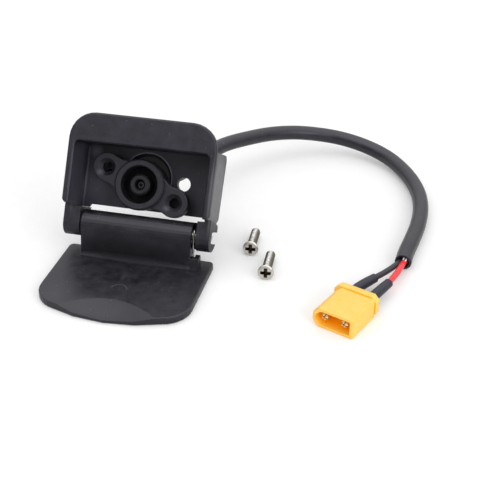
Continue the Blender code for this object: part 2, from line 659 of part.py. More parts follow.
def build_contacts(seat):
    """Insulating core with its sleeve contact, and the leaf contact in the key slot."""
    front = SOCKET_FRONT + CORE_SET_BACK
    floor = SOCKET_FLOOR - GAP
    hole_floor = floor - BORE_FLOOR
    add_mesh("socket_core", turned([
        (0.0, hole_floor), (CORE_HOLE_RADIUS, hole_floor),
        (CORE_HOLE_RADIUS, front + CORE_CHAMFER / 2), (CORE_HOLE_RADIUS + CORE_CHAMFER / 2, front),
        (CORE_RADIUS - CORE_CHAMFER, front), (CORE_RADIUS, front + CORE_CHAMFER),
        (CORE_RADIUS, floor), (0.0, floor)], FINE_SIDES, along_y()), "socket_plastic", seat)
    outer = CORE_HOLE_RADIUS - SNUG
    inner = outer - CONTACT_WALL
    contact_front = front + CONTACT_SET_BACK
    contact_floor = hole_floor - GAP
    add_mesh("centre_contact", turned([
        (0.0, contact_floor - CONTACT_WALL), (inner, contact_floor - CONTACT_WALL),
        (inner, contact_front), (outer, contact_front), (outer, contact_floor),
        (0.0, contact_floor)], SMALL_SIDES, along_y()), "contact_metal", seat)
    leaf = box_outline(BORE_RADIUS + SNUG, BORE_RADIUS + KEY_DEPTH - SNUG,
                       -KEY_WIDTH / 2 + SNUG, KEY_WIDTH / 2 - SNUG)
    start = SOCKET_FRONT + KEY_DEPTH + GAP
    leaf_bm = prism("y", leaf, start, start + KEY_LENGTH - 2 * GAP)
    bmesh.ops.rotate(leaf_bm, verts=leaf_bm.verts, matrix=Matrix.Rotation(-KEY_ANGLE, 3, "Y"))
    add_mesh("outer_contact", leaf_bm, "contact_metal", seat)


def bent(radius, angle, depth):
    """Where the boot's bend takes a point at an angle about its centre line and at a depth."""
    turn = max(0.0, depth - COLLAR_BACK) / BOOT_BEND_RADIUS
    aside = Vector((BOOT_BEND_ASIDE, 0.0, sqrt(1 - BOOT_BEND_ASIDE ** 2)))
    across = Vector((aside.z, 0.0, -aside.x))
    back = Vector((0.0, 1.0, 0.0))
    inward = aside * cos(turn) - back * sin(turn)
    line = (BOOT_CENTRE + back * (min(depth, COLLAR_BACK) + BOOT_BEND_RADIUS * sin(turn))
            + aside * BOOT_BEND_RADIUS * (1 - cos(turn)))
    return line + inward * radius * cos(angle) + across * radius * sin(angle)


def build_boot(lean):
    """A collar in the cable hole, a flange behind it and a ribbed boot that tapers to the cable."""
    collar = CABLE_HOLE_RADIUS - GAP
    profile = [(collar - CORE_CHAMFER, COLLAR_FRONT), (collar, COLLAR_FRONT + CORE_CHAMFER),
               (collar, WALL_BACK + GAP), (COLLAR_FLANGE_RADIUS, WALL_BACK + GAP),
               (COLLAR_FLANGE_RADIUS, COLLAR_BACK - CORE_CHAMFER),
               (COLLAR_FLANGE_RADIUS - CORE_CHAMFER, COLLAR_BACK), (BOOT_RADIUS, COLLAR_BACK)]
    pitch = BOOT_LENGTH / (BOOT_RIBS + 0.5)
    for rib in range(BOOT_RIBS):
        start = COLLAR_BACK + pitch * (rib + 0.5)
        radius = BOOT_RADIUS + (BOOT_TIP_RADIUS - BOOT_RADIUS) * (rib + 0.5) / BOOT_RIBS
        profile += [(radius, start), (radius - BOOT_RIB_DEPTH, start),
                    (radius - BOOT_RIB_DEPTH, start + pitch * 0.45), (radius, start + pitch * 0.45)]
    profile += [(BOOT_TIP_RADIUS, BOOT_END - CORE_CHAMFER), (BOOT_TIP_RADIUS - CORE_CHAMFER, BOOT_END)]
    bm = bmesh.new()
    rings = [[bm.verts.new(bent(radius, tau * side / PLAIN_SIDES, depth)) for side in range(PLAIN_SIDES)]
             for radius, depth in profile]
    for near, far in zip(rings, rings[1:]):
        for side in range(PLAIN_SIDES):
            after = (side + 1) % PLAIN_SIDES
            bm.faces.new((near[side], near[after], far[after], far[side]))
    bm.faces.new(rings[0])
    bm.faces.new(rings[-1])
    boot = add_mesh("strain_relief", bm, "boot_rubber", lean)
    join(boot, "neck", rod(BOOT_NECK_RADIUS, SOCKET_BACK + GAP, COLLAR_FRONT + OVERLAP, SMALL_SIDES,
                           along_y(SOCKET_CENTRE.x, SOCKET_CENTRE.z)))
    return boot


# Cable, leads and sleeves

def to_world(point):
    """From the housing's upright frame to the leaning one."""
    x, y, z = point
    return HOUSING_SEAT + Vector((x, y * cos(LEAN_BACK) + z * sin(LEAN_BACK),
                                  z * cos(LEAN_BACK) - y * sin(LEAN_BACK)))


def smooth_route(points, radius):
    """Even points on a centripetal curve through the route's own points."""
    points = [Vector(point) for point in points]
    ends = [2 * points[0] - points[1]] + points + [2 * points[-1] - points[-2]]
    dense = []
    for a, b, c, d in zip(ends, ends[1:], ends[2:], ends[3:]):
        for step in range(12):
            t = step / 12
            dense.append(0.5 * (2 * b + (c - a) * t + (2 * a - 5 * b + 4 * c - d) * t * t
                                + (3 * b - a - 3 * c + d) * t ** 3))
    dense.append(points[-1])
    total = sum((b - a).length for a, b in zip(dense, dense[1:]))
    count = max(3, round(total / (2 * radius * CORD_POINT_SPACING)))
    even = [dense[0]]
    gone = 0.0
    for a, b in zip(dense, dense[1:]):
        gone += (b - a).length
        if gone >= total * len(even) / count and len(even) < count:
            even.append(b)
    even.append(dense[-1])
    return even


def cable_route():
    """Out of the boot, down to the floor in a loop behind, and forward to the connector."""
    start = to_world(bent(0.0, 0.0, BOOT_END + GAP))
    onward = (start - to_world(bent(0.0, 0.0, BOOT_END))).normalized()
    end = connector_point(LEADS_ASIDE, LEADS_LENGTH, 0.0)
    floor = CABLE_RADIUS + FLOOR_LIFT
    # Shares of the way across to the end, of the loop's depth, and of the height at the boot.
    shares = [
        (0.027, 0.109, 0.927), (0.053, 0.244, 0.895), (0.082, 0.380, 0.879),
        (0.121, 0.515, 0.845), (0.188, 0.655, 0.765), (0.282, 0.804, 0.667),
        (0.383, 0.909, 0.559), (0.491, 0.972, 0.439), (0.606, 0.996, 0.320),
        (0.724, 0.969, 0.201), (0.827, 0.895, 0.103), (0.907, 0.779, 0.038),
        (0.969, 0.633, 0.005), (1.010, 0.470, 0.000), (1.029, 0.296, 0.000),
        (1.029, 0.120, 0.000), (1.018, -0.039, 0.000), (1.005, -0.182, 0.000),
    ]
    route = [start, start + onward * CABLE_RADIUS]
    for across, behind, up in shares:
        route.append(Vector((start.x + (end.x - start.x) * across, start.y + LOOP_DEPTH * behind,
                             floor + (start.z - floor) * up)))
    return route + [Vector((end.x, end.y, floor))]


def connector_point(x, y, z):
    """From the connector's own frame to the world: x across, y back, z up."""
    turn = Matrix.Rotation(CONNECTOR_TURN, 3, "Z")
    return Vector((CONNECTOR_X, CONNECTOR_Y, 0.0)) + turn @ Vector((x, y, z))


def lead_routes():
    """Sleeve and lead of each colour: from the connector's back to the end of the sheath."""
    last, before = Vector(cable_route()[-1]), Vector(cable_route()[-2])
    onward = (last - before).normalized()
    aside = onward.cross(Vector((0, 0, 1)))
    height = CONNECTOR_HEIGHT / 2
    back = CONNECTOR_LENGTH + GAP
    routes = {}
    for colour, side, bend, tip, middle in (
        ("black", -1, (-0.0019, 0.0170), (-0.0009, 0.0215), (0.0001, 0.0259)),
        ("red", 1, (0.0026, 0.0170), (0.0028, 0.0215), (0.0024, 0.0262)),
    ):
        root = connector_point(side * CONTACT_PITCH / 2, back, height)
        knee = connector_point(*bend, height)
        sleeve_end = connector_point(*tip, height)
        direction = (sleeve_end - knee).normalized()
        lead_start = sleeve_end + direction * GAP
        end = last + onward * GAP - aside * side * LEAD_SPREAD
        routes[colour] = ([root, knee, sleeve_end],
                          [lead_start, connector_point(*middle, height), end])
    return routes


def build_cords():
    tube("cable_sheath", smooth_route(cable_route(), CABLE_RADIUS), CABLE_RADIUS, "cable_grey", 3)
    for colour, (sleeve, lead) in lead_routes().items():
        tube("sleeve_" + colour, smooth_route(sleeve, SLEEVE_RADIUS), SLEEVE_RADIUS, "heat_shrink")
        tube("lead_" + colour, smooth_route(lead, LEAD_RADIUS), LEAD_RADIUS, colour + "_wire")


# Connector

def shell_outline(inset=0.0):
    """Front view: chamfered on the left, square on the right."""
    left, right = -CONNECTOR_HALF_WIDTH + inset, CONNECTOR_HALF_WIDTH - inset
    low, high = inset + FLOOR_LIFT, CONNECTOR_HEIGHT - inset
    slope = CONNECTOR_CHAMFER - inset * (2 - sqrt(2)) / 2
    small, wide = CONNECTOR_CORNER_ROUND, CONNECTOR_SLOPE_ROUND
    return rounded([
        (left + slope, low, wide), (right, low, small), (right, high, small),
        (left + slope, high, wide), (left, high - slope, wide), (left, low + slope, wide)])


def cap_outline():
    """The wider rear cap, chamfered on both sides."""
    half = CONNECTOR_HALF_WIDTH + CAP_LIP
    high = CONNECTOR_HEIGHT + CAP_LIP
    slope = CAP_CHAMFER
    return [Vector(point) for point in (
        (-half + slope, 0.0), (half - slope, 0.0), (half, slope), (half, high - slope),
        (half - slope, high), (-half + slope, high), (-half, high - slope), (-half, slope))]


def build_connector():
    seat = add_empty("connector_seat", (CONNECTOR_X, CONNECTOR_Y, 0.0), (0.0, 0.0, CONNECTOR_TURN))
    shell = add_mesh("connector_shell", prism("y", shell_outline(), 0.0, CONNECTOR_SHELL_LENGTH,
                                              CONNECTOR_EDGE_ROUND, 0.0), "yellow_nylon", seat)
    add_mesh("connector_cap", prism("y", cap_outline(), CONNECTOR_SHELL_LENGTH + GAP,
                                    CONNECTOR_LENGTH, CAP_LIP / 2, CAP_REAR_CHAMFER),
             "yellow_nylon", seat)
    cut(shell, "contact_cavity", prism("y", shell_outline(CONNECTOR_WALL), -OVERLAP,
                                       CONNECTOR_CAVITY_DEPTH))
    for index, side in enumerate((-1, 1), 1):
        x = side * CONTACT_PITCH / 2
        middle = CONNECTOR_HEIGHT / 2
        end = CONNECTOR_CAVITY_DEPTH - GAP
        tip = CONTACT_RECESS
        point = CONTACT_RADIUS * 0.45
        pin = add_mesh("contact_pin_%d" % index, turned([
            (0.0, tip), (CONTACT_RADIUS - point, tip), (CONTACT_RADIUS - point / 4, tip + point / 2),
            (CONTACT_RADIUS, tip + 1.5 * point), (CONTACT_RADIUS, end), (0.0, end)],
            SMALL_SIDES, along_y(x, middle)), "gold", seat)
        for turn in (CONTACT_SLIT_TURN, CONTACT_SLIT_TURN + pi / 2):
            slit = prism("y", box_outline(-2 * CONTACT_RADIUS, 2 * CONTACT_RADIUS,
                                          -CONTACT_SLIT / 2, CONTACT_SLIT / 2),
                         tip - OVERLAP, tip + CONTACT_SLIT_DEPTH)
            bmesh.ops.transform(slit, verts=slit.verts, matrix=Matrix.Translation((x, 0, middle))
                                @ Matrix.Rotation(turn, 4, "Y"))
            cut(pin, "slit_%d_%d" % (index, round(turn * 100)), slit)
    return seat


# Screws

def build_screws():
    """Countersunk screws, each lying on the edge of its head and on its tip."""
    tilt = asin((SCREW_HEAD_RADIUS - SCREW_SHANK_RADIUS) / SCREW_LENGTH)
    cone = SCREW_HEAD_RADIUS - SCREW_SHANK_RADIUS
    head = SCREW_HEAD_DOME + SCREW_HEAD_RIM
    for index, ((x, y), turn) in enumerate(SCREW_PLACES, 1):
        profile = [
            (0.0, 0.0), (SCREW_HEAD_RADIUS * 0.55, SCREW_HEAD_DOME * 0.25),
            (SCREW_HEAD_RADIUS * 0.85, SCREW_HEAD_DOME * 0.65), (SCREW_HEAD_RADIUS, SCREW_HEAD_DOME),
            (SCREW_HEAD_RADIUS, head), (SCREW_SHANK_RADIUS, head + cone),
            (SCREW_SHANK_RADIUS, SCREW_LENGTH - SCREW_TIP_CHAMFER),
            (SCREW_SHANK_RADIUS - SCREW_TIP_CHAMFER, SCREW_LENGTH), (0.0, SCREW_LENGTH)]
        screw = add_mesh("screw_%d" % index, turned(profile, PLAIN_SIDES), "steel")
        screw.matrix_world = (Matrix.Translation((x, y, SCREW_HEAD_RADIUS + FLOOR_LIFT * 5))
                              @ Matrix.Rotation(turn, 4, "Z")
                              @ Matrix.Rotation(-pi / 2 - tilt, 4, "X"))
        for name, half_u, half_v in (("a", CROSS_SPAN / 2, CROSS_WIDTH / 2),
                                     ("b", CROSS_WIDTH / 2, CROSS_SPAN / 2)):
            arm = loft("z", [
                (box_outline(-half_u, half_u, -half_v, half_v), -OVERLAP),
                (box_outline(-half_u * 0.5, half_u * 0.5, -half_v * 0.5, half_v * 0.5), CROSS_DEPTH)])
            cut(screw, "cross_%d_%s" % (index, name), arm)


def shade(item):
    """Keeps flat faces flat beside rounded ones, once every cut and join is in place."""
    step = item.modifiers.new("shading", "WEIGHTED_NORMAL")
    step.weight = 90
    step.keep_sharp = True


def main():
    clear_scene()
    lean = add_empty("housing_frame", HOUSING_SEAT, (-LEAN_BACK, 0.0, 0.0))
    build_housing(lean)
    build_pin(lean)
    build_cover()
    build_spring()
    build_socket(lean)
    build_boot(lean)
    build_cords()
    build_connector()
    build_screws()
    for item in bpy.context.scene.objects:
        if item.type == "MESH" and item.modifiers:
            shade(item)


main()
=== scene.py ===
# %% [markdown]
# # Charge port inlet
# A small vehicle's charging inlet: a black moulded housing with a sprung cover, a two-ear socket that
# has been unscrewed from it, and a cable that ends in a yellow two-pin connector.
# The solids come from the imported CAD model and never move. This lesson gives them their finishes,
# and replaces the few that need finer shapes: the cable and its wires, the spring, the pin and the screws.

# %% Load the frame
from math import acos, asin, atan2, cos, degrees, pi, radians, sin, tau
import bmesh
import bpy
from mathutils import Matrix, Vector
from mathutils.geometry import interpolate_bezier


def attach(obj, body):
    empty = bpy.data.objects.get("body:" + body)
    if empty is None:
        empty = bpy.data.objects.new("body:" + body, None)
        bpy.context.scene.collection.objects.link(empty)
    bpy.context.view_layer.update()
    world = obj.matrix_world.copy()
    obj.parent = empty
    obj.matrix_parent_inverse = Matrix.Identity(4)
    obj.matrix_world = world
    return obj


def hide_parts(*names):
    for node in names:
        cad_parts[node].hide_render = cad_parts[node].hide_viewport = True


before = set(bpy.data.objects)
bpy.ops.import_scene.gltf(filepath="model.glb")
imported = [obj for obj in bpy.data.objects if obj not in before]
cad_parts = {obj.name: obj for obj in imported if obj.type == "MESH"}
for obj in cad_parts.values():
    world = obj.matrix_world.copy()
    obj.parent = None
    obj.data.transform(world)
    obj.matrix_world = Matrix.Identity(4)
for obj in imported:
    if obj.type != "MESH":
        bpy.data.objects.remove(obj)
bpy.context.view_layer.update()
print("nodes:", ", ".join(sorted(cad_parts)))

# %% [markdown]
# ## Camera
# The photograph was taken from a little to the right and well above, with a long lens. Its place and lens
# were solved from corners of the cover, the flange and the connector, so they are numbers here.

# %% Camera at the photographer's place
CAMERA_PLACE = Vector((0.073866, -0.183393, 0.132877))
CAMERA_AZIMUTH = radians(13.2232)
CAMERA_ELEVATION = radians(31.8812)
CAMERA_ROLL = radians(0.4592)
CAMERA_LENS_MM = 71.964
CAMERA_CLIP = (0.01, 20.0)


def add_camera():
    """A camera that looks back along its azimuth and elevation, with a small roll."""
    data = bpy.data.cameras.new("camera")
    data.lens = CAMERA_LENS_MM
    data.clip_start, data.clip_end = CAMERA_CLIP
    camera = bpy.data.objects.new("camera", data)
    bpy.context.scene.collection.objects.link(camera)
    turn = (Matrix.Rotation(CAMERA_AZIMUTH, 4, "Z") @ Matrix.Rotation(pi / 2 - CAMERA_ELEVATION, 4, "X")
            @ Matrix.Rotation(CAMERA_ROLL, 4, "Z"))
    camera.matrix_world = Matrix.Translation(CAMERA_PLACE) @ turn
    bpy.context.scene.camera = camera
    return camera


print("camera at", tuple(round(value, 4) for value in add_camera().location))

# %% [markdown]
# ## Cable, wires and sleeves
# The sheath is soft round PVC about 4 mm thick. It leaves the ribbed boot behind the housing, sinks to the
# floor in one loose loop and comes forward to the connector. Its route is a row of knots. Each span between
# two knots is a cubic curve whose handles point from the knot before to the knot after, which keeps every
# bend smooth, and the skin is a ring of vertices carried along that line without twist.

# %% Skin a mesh over loops of points


def skin_over(loops, closed_round=False):
    """A closed mesh over loops with the same number of points, capped unless the last joins the first."""
    bm = bmesh.new()
    rows = [[bm.verts.new(spot) for spot in loop] for loop in loops]
    for near, far in zip(rows, rows[1:] + rows[:1] if closed_round else rows[1:]):
        for corners in zip(near, near[1:] + near[:1], far[1:] + far[:1], far):
            bm.faces.new(corners)
    if not closed_round:
        bm.faces.new(rows[0])
        bm.faces.new(rows[-1])
    bmesh.ops.recalc_face_normals(bm, faces=bm.faces)
    return bm


def circle(radius, sides):
    """Pairs of coordinates round a circle; the radius is a number or a function of the angle."""
    angles = [tau * side / sides for side in range(sides)]
    reaches = [radius(angle) if callable(radius) else radius for angle in angles]
    return [(reach * cos(angle), reach * sin(angle)) for reach, angle in zip(reaches, angles)]


print("a circle of radius 1 starts at", circle(1.0, 8)[0])

# %% A smooth line through knots, and its length


def smooth_line(knots, cuts=8):
    """Close points along smooth spans through the knots."""
    spots = [Vector(knot) for knot in knots]
    onward = directions(spots)
    line = [spots[0]]
    for first, second, leave, arrive in zip(spots, spots[1:], onward, onward[1:]):
        reach = (second - first).length / 3
        handles = first + leave * reach, second - arrive * reach
        line += interpolate_bezier(first, *handles, second, cuts + 1)[1:]
    return line


def directions(spots):
    """At each point, the direction from the point before it to the point after it."""
    befores, afters = spots[:1] + spots, spots[1:] + spots[-1:]
    return [(after - before).normalized() for before, after in zip(befores, afters)]


def line_length(line):
    return sum((b - a).length for a, b in zip(line, line[1:]))


print("a straight line of two knots has", len(smooth_line([(0, 0, 0), (1, 0, 0)])), "points")

# %% Skin a line with a tube


def carry_frames(line):
    """A tangent and a sideways direction at each point, turned from one to the next without twist."""
    tangents = directions(line)
    sideways = tangents[0].cross(Vector((0.0, 0.0, 1.0))).normalized()
    frames = []
    for before, tangent in zip(tangents[:1] + tangents, tangents):
        sideways = before.rotation_difference(tangent) @ sideways
        frames.append((tangent, sideways))
    return frames


def ring_at(line, frames, distance, radius, sides):
    """Points of a ring at a distance along the line."""
    for (a, b), (tangent, sideways) in zip(zip(line, line[1:]), frames):
        step = (b - a).length
        if distance <= step:
            break
        distance -= step
    middle = a.lerp(b, min(1.0, distance / step))
    up = tangent.cross(sideways)
    return [middle + radius * (sideways * across + up * above) for across, above in circle(1.0, sides)]


def tube_mesh(line, radius, sides=20, mouth=None, rim=0.0001, widths=(1.0,)):
    """A tube with rounded rims; a mouth is the (inner radius, depth) of the hollow at both of its ends."""
    frames, total = carry_frames(line), line_length(line)
    marks, gone = [], 0.0
    for a, b in zip(line, line[1:]):
        gone += (b - a).length
        marks.append(gone)

    def width(distance):
        """The radius, blended between the widths that are spread evenly along the tube."""
        place = distance / total * (len(widths) - 1)
        index = min(int(place), max(len(widths) - 2, 0))
        after = widths[min(index + 1, len(widths) - 1)]
        return radius * (widths[index] + (after - widths[index]) * (place - index))

    rings = [(0.0, width(0.0) - rim), (rim, width(0.0))]
    rings += [(mark, width(mark)) for mark in marks if 2 * rim < mark < total - 2 * rim]
    rings += [(total - rim, width(total)), (total, width(total) - rim)]
    if mouth:
        inner, depth = mouth
        rings = [(depth, inner), (0.0, inner)] + rings + [(total, inner), (total - depth, inner)]
    return skin_over([ring_at(line, frames, distance, reach, sides) for distance, reach in rings])


sample = tube_mesh(smooth_line([(0.0, 0.0, 0.0), (0.01, 0.0, 0.0)]), 0.001)
print("a straight tube of 1 cm has", len(sample.faces), "faces")
sample.free()

# %% [markdown]
# A mesh becomes a piece when it has a name, smooth faces between sharp edges, the body that it rides on and
# the CAD nodes that it stands in for.

# %% Turn mesh code into pieces
SHARP_ANGLE = radians(32)


def dress(piece, finish):
    """Gives every material slot of an object the finish."""
    if not piece.material_slots:
        piece.data.materials.append(finish)
    for slot in piece.material_slots:
        slot.material = finish


def add_piece(name, bm, body="housing", nodes=()):
    """A piece of the inlet: named, smooth, riding on its body, and standing in for its CAD nodes."""
    mesh = bpy.data.meshes.new(name)
    bm.to_mesh(mesh)
    bm.free()
    mesh.shade_smooth()
    mesh.set_sharp_from_angle(angle=SHARP_ANGLE)
    piece = bpy.data.objects.new(name, mesh)
    bpy.context.scene.collection.objects.link(piece)
    if nodes:
        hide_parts(*nodes)
    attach(piece, body)
    print(name, len(mesh.polygons), "faces")
    return piece


print("edges sharper than %.0f degrees stay sharp" % degrees(SHARP_ANGLE))

# %% [markdown]
# The knots lie on the cable's line in the photograph, seen through the solved camera. One picture can't give
# their height, so the cable is taken to slope from the boot down to the floor. Each end of the sheath has a
# short bore, because the wires come out of it.

# %% The cable
CABLE_SIDES = 28
CABLE_DIAMETER = 0.0041
SHEATH_BORE = 0.00145
SHEATH_BORE_DEPTH = 0.0012
CABLE_KNOTS = [
    (0.001213, 0.03812, 0.011257), (0.001958, 0.039998, 0.010914), (0.002887, 0.043134, 0.010587),
    (0.004499, 0.049344, 0.010293), (0.006297, 0.0556, 0.010147), (0.008716, 0.06181, 0.009835),
    (0.01287, 0.06825, 0.0091), (0.018699, 0.075104, 0.008201), (0.024962, 0.079934, 0.00721),
    (0.031659, 0.082832, 0.006109), (0.03879, 0.083936, 0.005017), (0.046107, 0.082694, 0.003925),
    (0.052494, 0.07929, 0.003025), (0.057454, 0.073954, 0.002429), (0.061299, 0.067238, 0.002126),
    (0.063841, 0.05974, 0.00208), (0.065019, 0.051736, 0.00208), (0.065019, 0.04364, 0.00208),
    (0.064337, 0.036326, 0.00208), (0.063531, 0.029748, 0.00208), (0.063221, 0.024835, 0.00208),
]
cable_line = smooth_line(CABLE_KNOTS)
sheath = tube_mesh(cable_line, CABLE_DIAMETER / 2, CABLE_SIDES, (SHEATH_BORE, SHEATH_BORE_DEPTH))
cable = add_piece("cable", sheath, nodes=["cable_sheath"])

# %% [markdown]
# Two wires come out of the sheath, one black and one red. Each goes into a shrink sleeve that covers its
# solder joint and is a little thicker there than at its mouth. Two short ends of pale filler thread stick
# out between the wires.

# %% Wires and their shrink sleeves
WIRE_RADIUS = 0.00073
SLEEVE_RADIUS = 0.0012
SLEEVE_WIDTHS = (0.96, 1.02, 1.0, 0.92)
SLEEVE_BORE = 0.0009
SLEEVE_BORE_DEPTH = 0.0008
WIRES = {
    "black": ([(0.052824, 0.007834, 0.002575), (0.055, 0.011819, 0.002575), (0.057549, 0.01566, 0.002575)],
              [(0.057380, 0.01541, 0.002575), (0.060062, 0.019407, 0.002575), (0.062250, 0.024286, 0.00215),
               (0.062560, 0.025400, 0.00208)]),
    "red": ([(0.057491, 0.006039, 0.002575), (0.0592, 0.010203, 0.002575), (0.061002, 0.014331, 0.002575)],
            [(0.060900, 0.014056, 0.002575), (0.062316, 0.018862, 0.002575), (0.063300, 0.024085, 0.00225),
             (0.063500, 0.025400, 0.00215)]),
}
wires, sleeves = {}, {}
for colour, (sleeve_knots, wire_knots) in WIRES.items():
    sleeve = tube_mesh(smooth_line(sleeve_knots), SLEEVE_RADIUS, mouth=(SLEEVE_BORE, SLEEVE_BORE_DEPTH),
                       widths=SLEEVE_WIDTHS)
    sleeves[colour] = add_piece("shrink_sleeve_" + colour, sleeve, nodes=["sleeve_" + colour])
    wires[colour] = add_piece("wire_" + colour, tube_mesh(smooth_line(wire_knots), WIRE_RADIUS),
                              nodes=["lead_" + colour])

# %% Filler thread
FILLER_RADIUS = 0.00016
FILLER_SIDES = 8
FILLER_RIM = 0.00004
FILLER_LINES = (
    [(0.063900, 0.025400, 0.00300), (0.063860, 0.024450, 0.00305), (0.063700, 0.023950, 0.00310)],
    [(0.063300, 0.025400, 0.00320), (0.063280, 0.024550, 0.00325), (0.063200, 0.024150, 0.00325)],
)
fillers = []
for index, line in enumerate(FILLER_LINES, 1):
    thread = tube_mesh(smooth_line(line), FILLER_RADIUS, FILLER_SIDES, rim=FILLER_RIM)
    fillers.append(add_piece("filler_thread_%d" % index, thread))

# %% [markdown]
# Nothing holds the cable between the boot and the connector.

# %% [markdown]
# ## Node helpers
# Every finish below is a small graph. Nodes could be added and linked line by line, but the same lines would
# come back dozens of times. So one helper fills a node's sockets, by name or, as i0, i1 and so on, by number,
# and another adds the node first. The rest open or place a group and wrap the three commonest nodes.

# %% Node helpers


def fill(tree, node, **sockets):
    """Fills sockets of a node; a value is a constant, or an output of another node to link from."""
    for name, value in sockets.items():
        by_number = name[0] == "i" and name[1:].isdigit()
        target = node.inputs[int(name[1:]) if by_number else name.replace("_", " ")]
        if isinstance(value, bpy.types.NodeSocket):
            tree.links.new(value, target)
        else:
            target.default_value = value
    return node


def put(tree, kind, *, settings=None, **sockets):
    """Adds a node with its settings and fills its sockets."""
    node = tree.nodes.new(kind)
    for name, value in (settings or {}).items():
        setattr(node, name, value)
    return fill(tree, node, **sockets)


def open_group(name, inputs, outputs):
    """A group with value, colour or vector sockets; returns its tree, its inputs and its output node."""
    tree = bpy.data.node_groups.new(name, "ShaderNodeTree")
    kinds = {"value": "NodeSocketFloat", "colour": "NodeSocketColor", "vector": "NodeSocketVector"}
    for label, kind, value in inputs:
        socket = tree.interface.new_socket(label, in_out="INPUT", socket_type=kinds[kind])
        if value is not None:
            socket.default_value = value
    for label, kind in outputs:
        tree.interface.new_socket(label, in_out="OUTPUT", socket_type=kinds[kind])
    print("group", name)
    return tree, tree.nodes.new("NodeGroupInput").outputs, tree.nodes.new("NodeGroupOutput")


def place_group(tree, group, **sockets):
    """Places a shared group in a material with its own values."""
    return put(tree, "ShaderNodeGroup", settings={"node_tree": group}, **sockets)


def calc(tree, operation, first, second=0.0, third=0.0):
    """One step of arithmetic on two or three numbers or outputs."""
    node = put(tree, "ShaderNodeMath", settings={"operation": operation}, i0=first, i1=second, i2=third)
    return node.outputs[0]


def remap(tree, value, low, high, to_low=0.0, to_high=1.0):
    """Stretches the range from low to high over the new range, and clamps what is outside."""
    node = put(tree, "ShaderNodeMapRange", Value=value, From_Min=low, From_Max=high,
               To_Min=to_low, To_Max=to_high)
    return node.outputs["Result"]


def blend_colour(tree, amount, first, second):
    """The first colour at amount 0 and the second at amount 1."""
    node = put(tree, "ShaderNodeMix", settings={"data_type": "RGBA"}, i0=amount, i6=first, i7=second)
    return node.outputs[2]


print("node groups before the first effect:", len(bpy.data.node_groups))

# %% [markdown]
# ## Shared effect: soft edges
# Injection mouldings and machined parts have no knife edges. Cycles can round the shading normal near an
# edge with the Bevel node, which leaves the mesh alone. Where the rounded normal leaves the true one,
# there is an edge, so the same node also gives a mask for polish and wear.

# %% Group soft_edges
EDGE_AGREEMENT = (0.995, 0.86)


def make_soft_edges():
    tree, given, out = open_group(
        "soft_edges", [("Radius", "value", 0.00015)], [("Normal", "vector"), ("Edge", "value")])
    bevel = put(tree, "ShaderNodeBevel", settings={"samples": 6}, Radius=given["Radius"])
    true_normal = put(tree, "ShaderNodeNewGeometry").outputs["True Normal"]
    agree = put(tree, "ShaderNodeVectorMath", settings={"operation": "DOT_PRODUCT"},
                i0=bevel.outputs[0], i1=true_normal).outputs["Value"]
    fill(tree, out, Normal=bevel.outputs[0], Edge=remap(tree, agree, *EDGE_AGREEMENT))
    return tree


SOFT_EDGES = make_soft_edges()

# %% [markdown]
# ## Shared effect: moulded grain
# Black ABS looks grey because its skin is finely textured: it scatters light, and handling polishes it in
# patches. Two sizes of noise give the grain, a slow noise varies gloss and tone, and stretched noise gives
# the faint rub marks that the photograph shows on the cover.

# %% Group moulded_grain
MOTTLE_SCALE, CLOUD_SCALE, STREAK_SCALE = 420.0, 75.0, 170.0
STREAK_TURN, STREAK_STRETCH = (0.2, 0.1, 0.9), (1.0, 9.0, 1.0)
STREAK_RANGE, CLOUD_RANGE, MOTTLE_RANGE = (0.60, 0.76), (0.35, 0.68), (0.38, 0.66)
CLOUD_SHARE, MOTTLE_SHARE = 0.22, 0.42
RUB_POLISH = -0.12
MOTTLE_RELIEF = 0.35


def make_moulded_grain():
    tree, given, out = open_group("moulded_grain", [
        ("Colour", "colour", (0.03, 0.03, 0.03, 1)), ("Rubbed", "colour", (0.06, 0.06, 0.065, 1)),
        ("Grain", "value", 9000.0), ("Rub", "value", 0.3), ("Gloss", "value", 0.42),
        ("Spread", "value", 0.10),
    ], [("Colour", "colour"), ("Roughness", "value"), ("Height", "value")])
    spot = put(tree, "ShaderNodeTexCoord").outputs["Object"]

    def noise(place, scale, detail, roughness):
        return put(tree, "ShaderNodeTexNoise", Vector=place, Scale=scale, Detail=detail,
                   Roughness=roughness).outputs["Fac"]

    fine = noise(spot, given["Grain"], 2.0, 0.6)
    mottle = noise(spot, MOTTLE_SCALE, 7.0, 0.66)
    cloud = noise(spot, CLOUD_SCALE, 3.0, 0.5)
    turned = put(tree, "ShaderNodeMapping", Vector=spot, Rotation=STREAK_TURN, Scale=STREAK_STRETCH)
    streak = noise(turned.outputs[0], STREAK_SCALE, 5.0, 0.7)
    rub = calc(tree, "MULTIPLY", remap(tree, streak, *STREAK_RANGE), given["Rub"])
    amount = calc(tree, "MULTIPLY_ADD", remap(tree, cloud, *CLOUD_RANGE), CLOUD_SHARE, rub)
    amount = calc(tree, "MULTIPLY_ADD", remap(tree, mottle, *MOTTLE_RANGE), MOTTLE_SHARE, amount)
    fill(tree, out, Colour=blend_colour(tree, amount, given["Colour"], given["Rubbed"]))
    swing = calc(tree, "MULTIPLY", calc(tree, "SUBTRACT", mottle, 0.5), given["Spread"])
    rough = calc(tree, "MULTIPLY_ADD", swing, 2.0, given["Gloss"])
    fill(tree, out, Roughness=calc(tree, "MULTIPLY_ADD", rub, RUB_POLISH, rough),
         Height=calc(tree, "MULTIPLY_ADD", mottle, MOTTLE_RELIEF, fine))
    return tree


MOULDED_GRAIN = make_moulded_grain()

# %% [markdown]
# ## Shared effect: handling dust
# A few pale specks lie on every black part of a product photograph. A cell texture keeps one speck in a
# cell, the cell's own random colour decides which cells have one, and only faces that look up collect them.

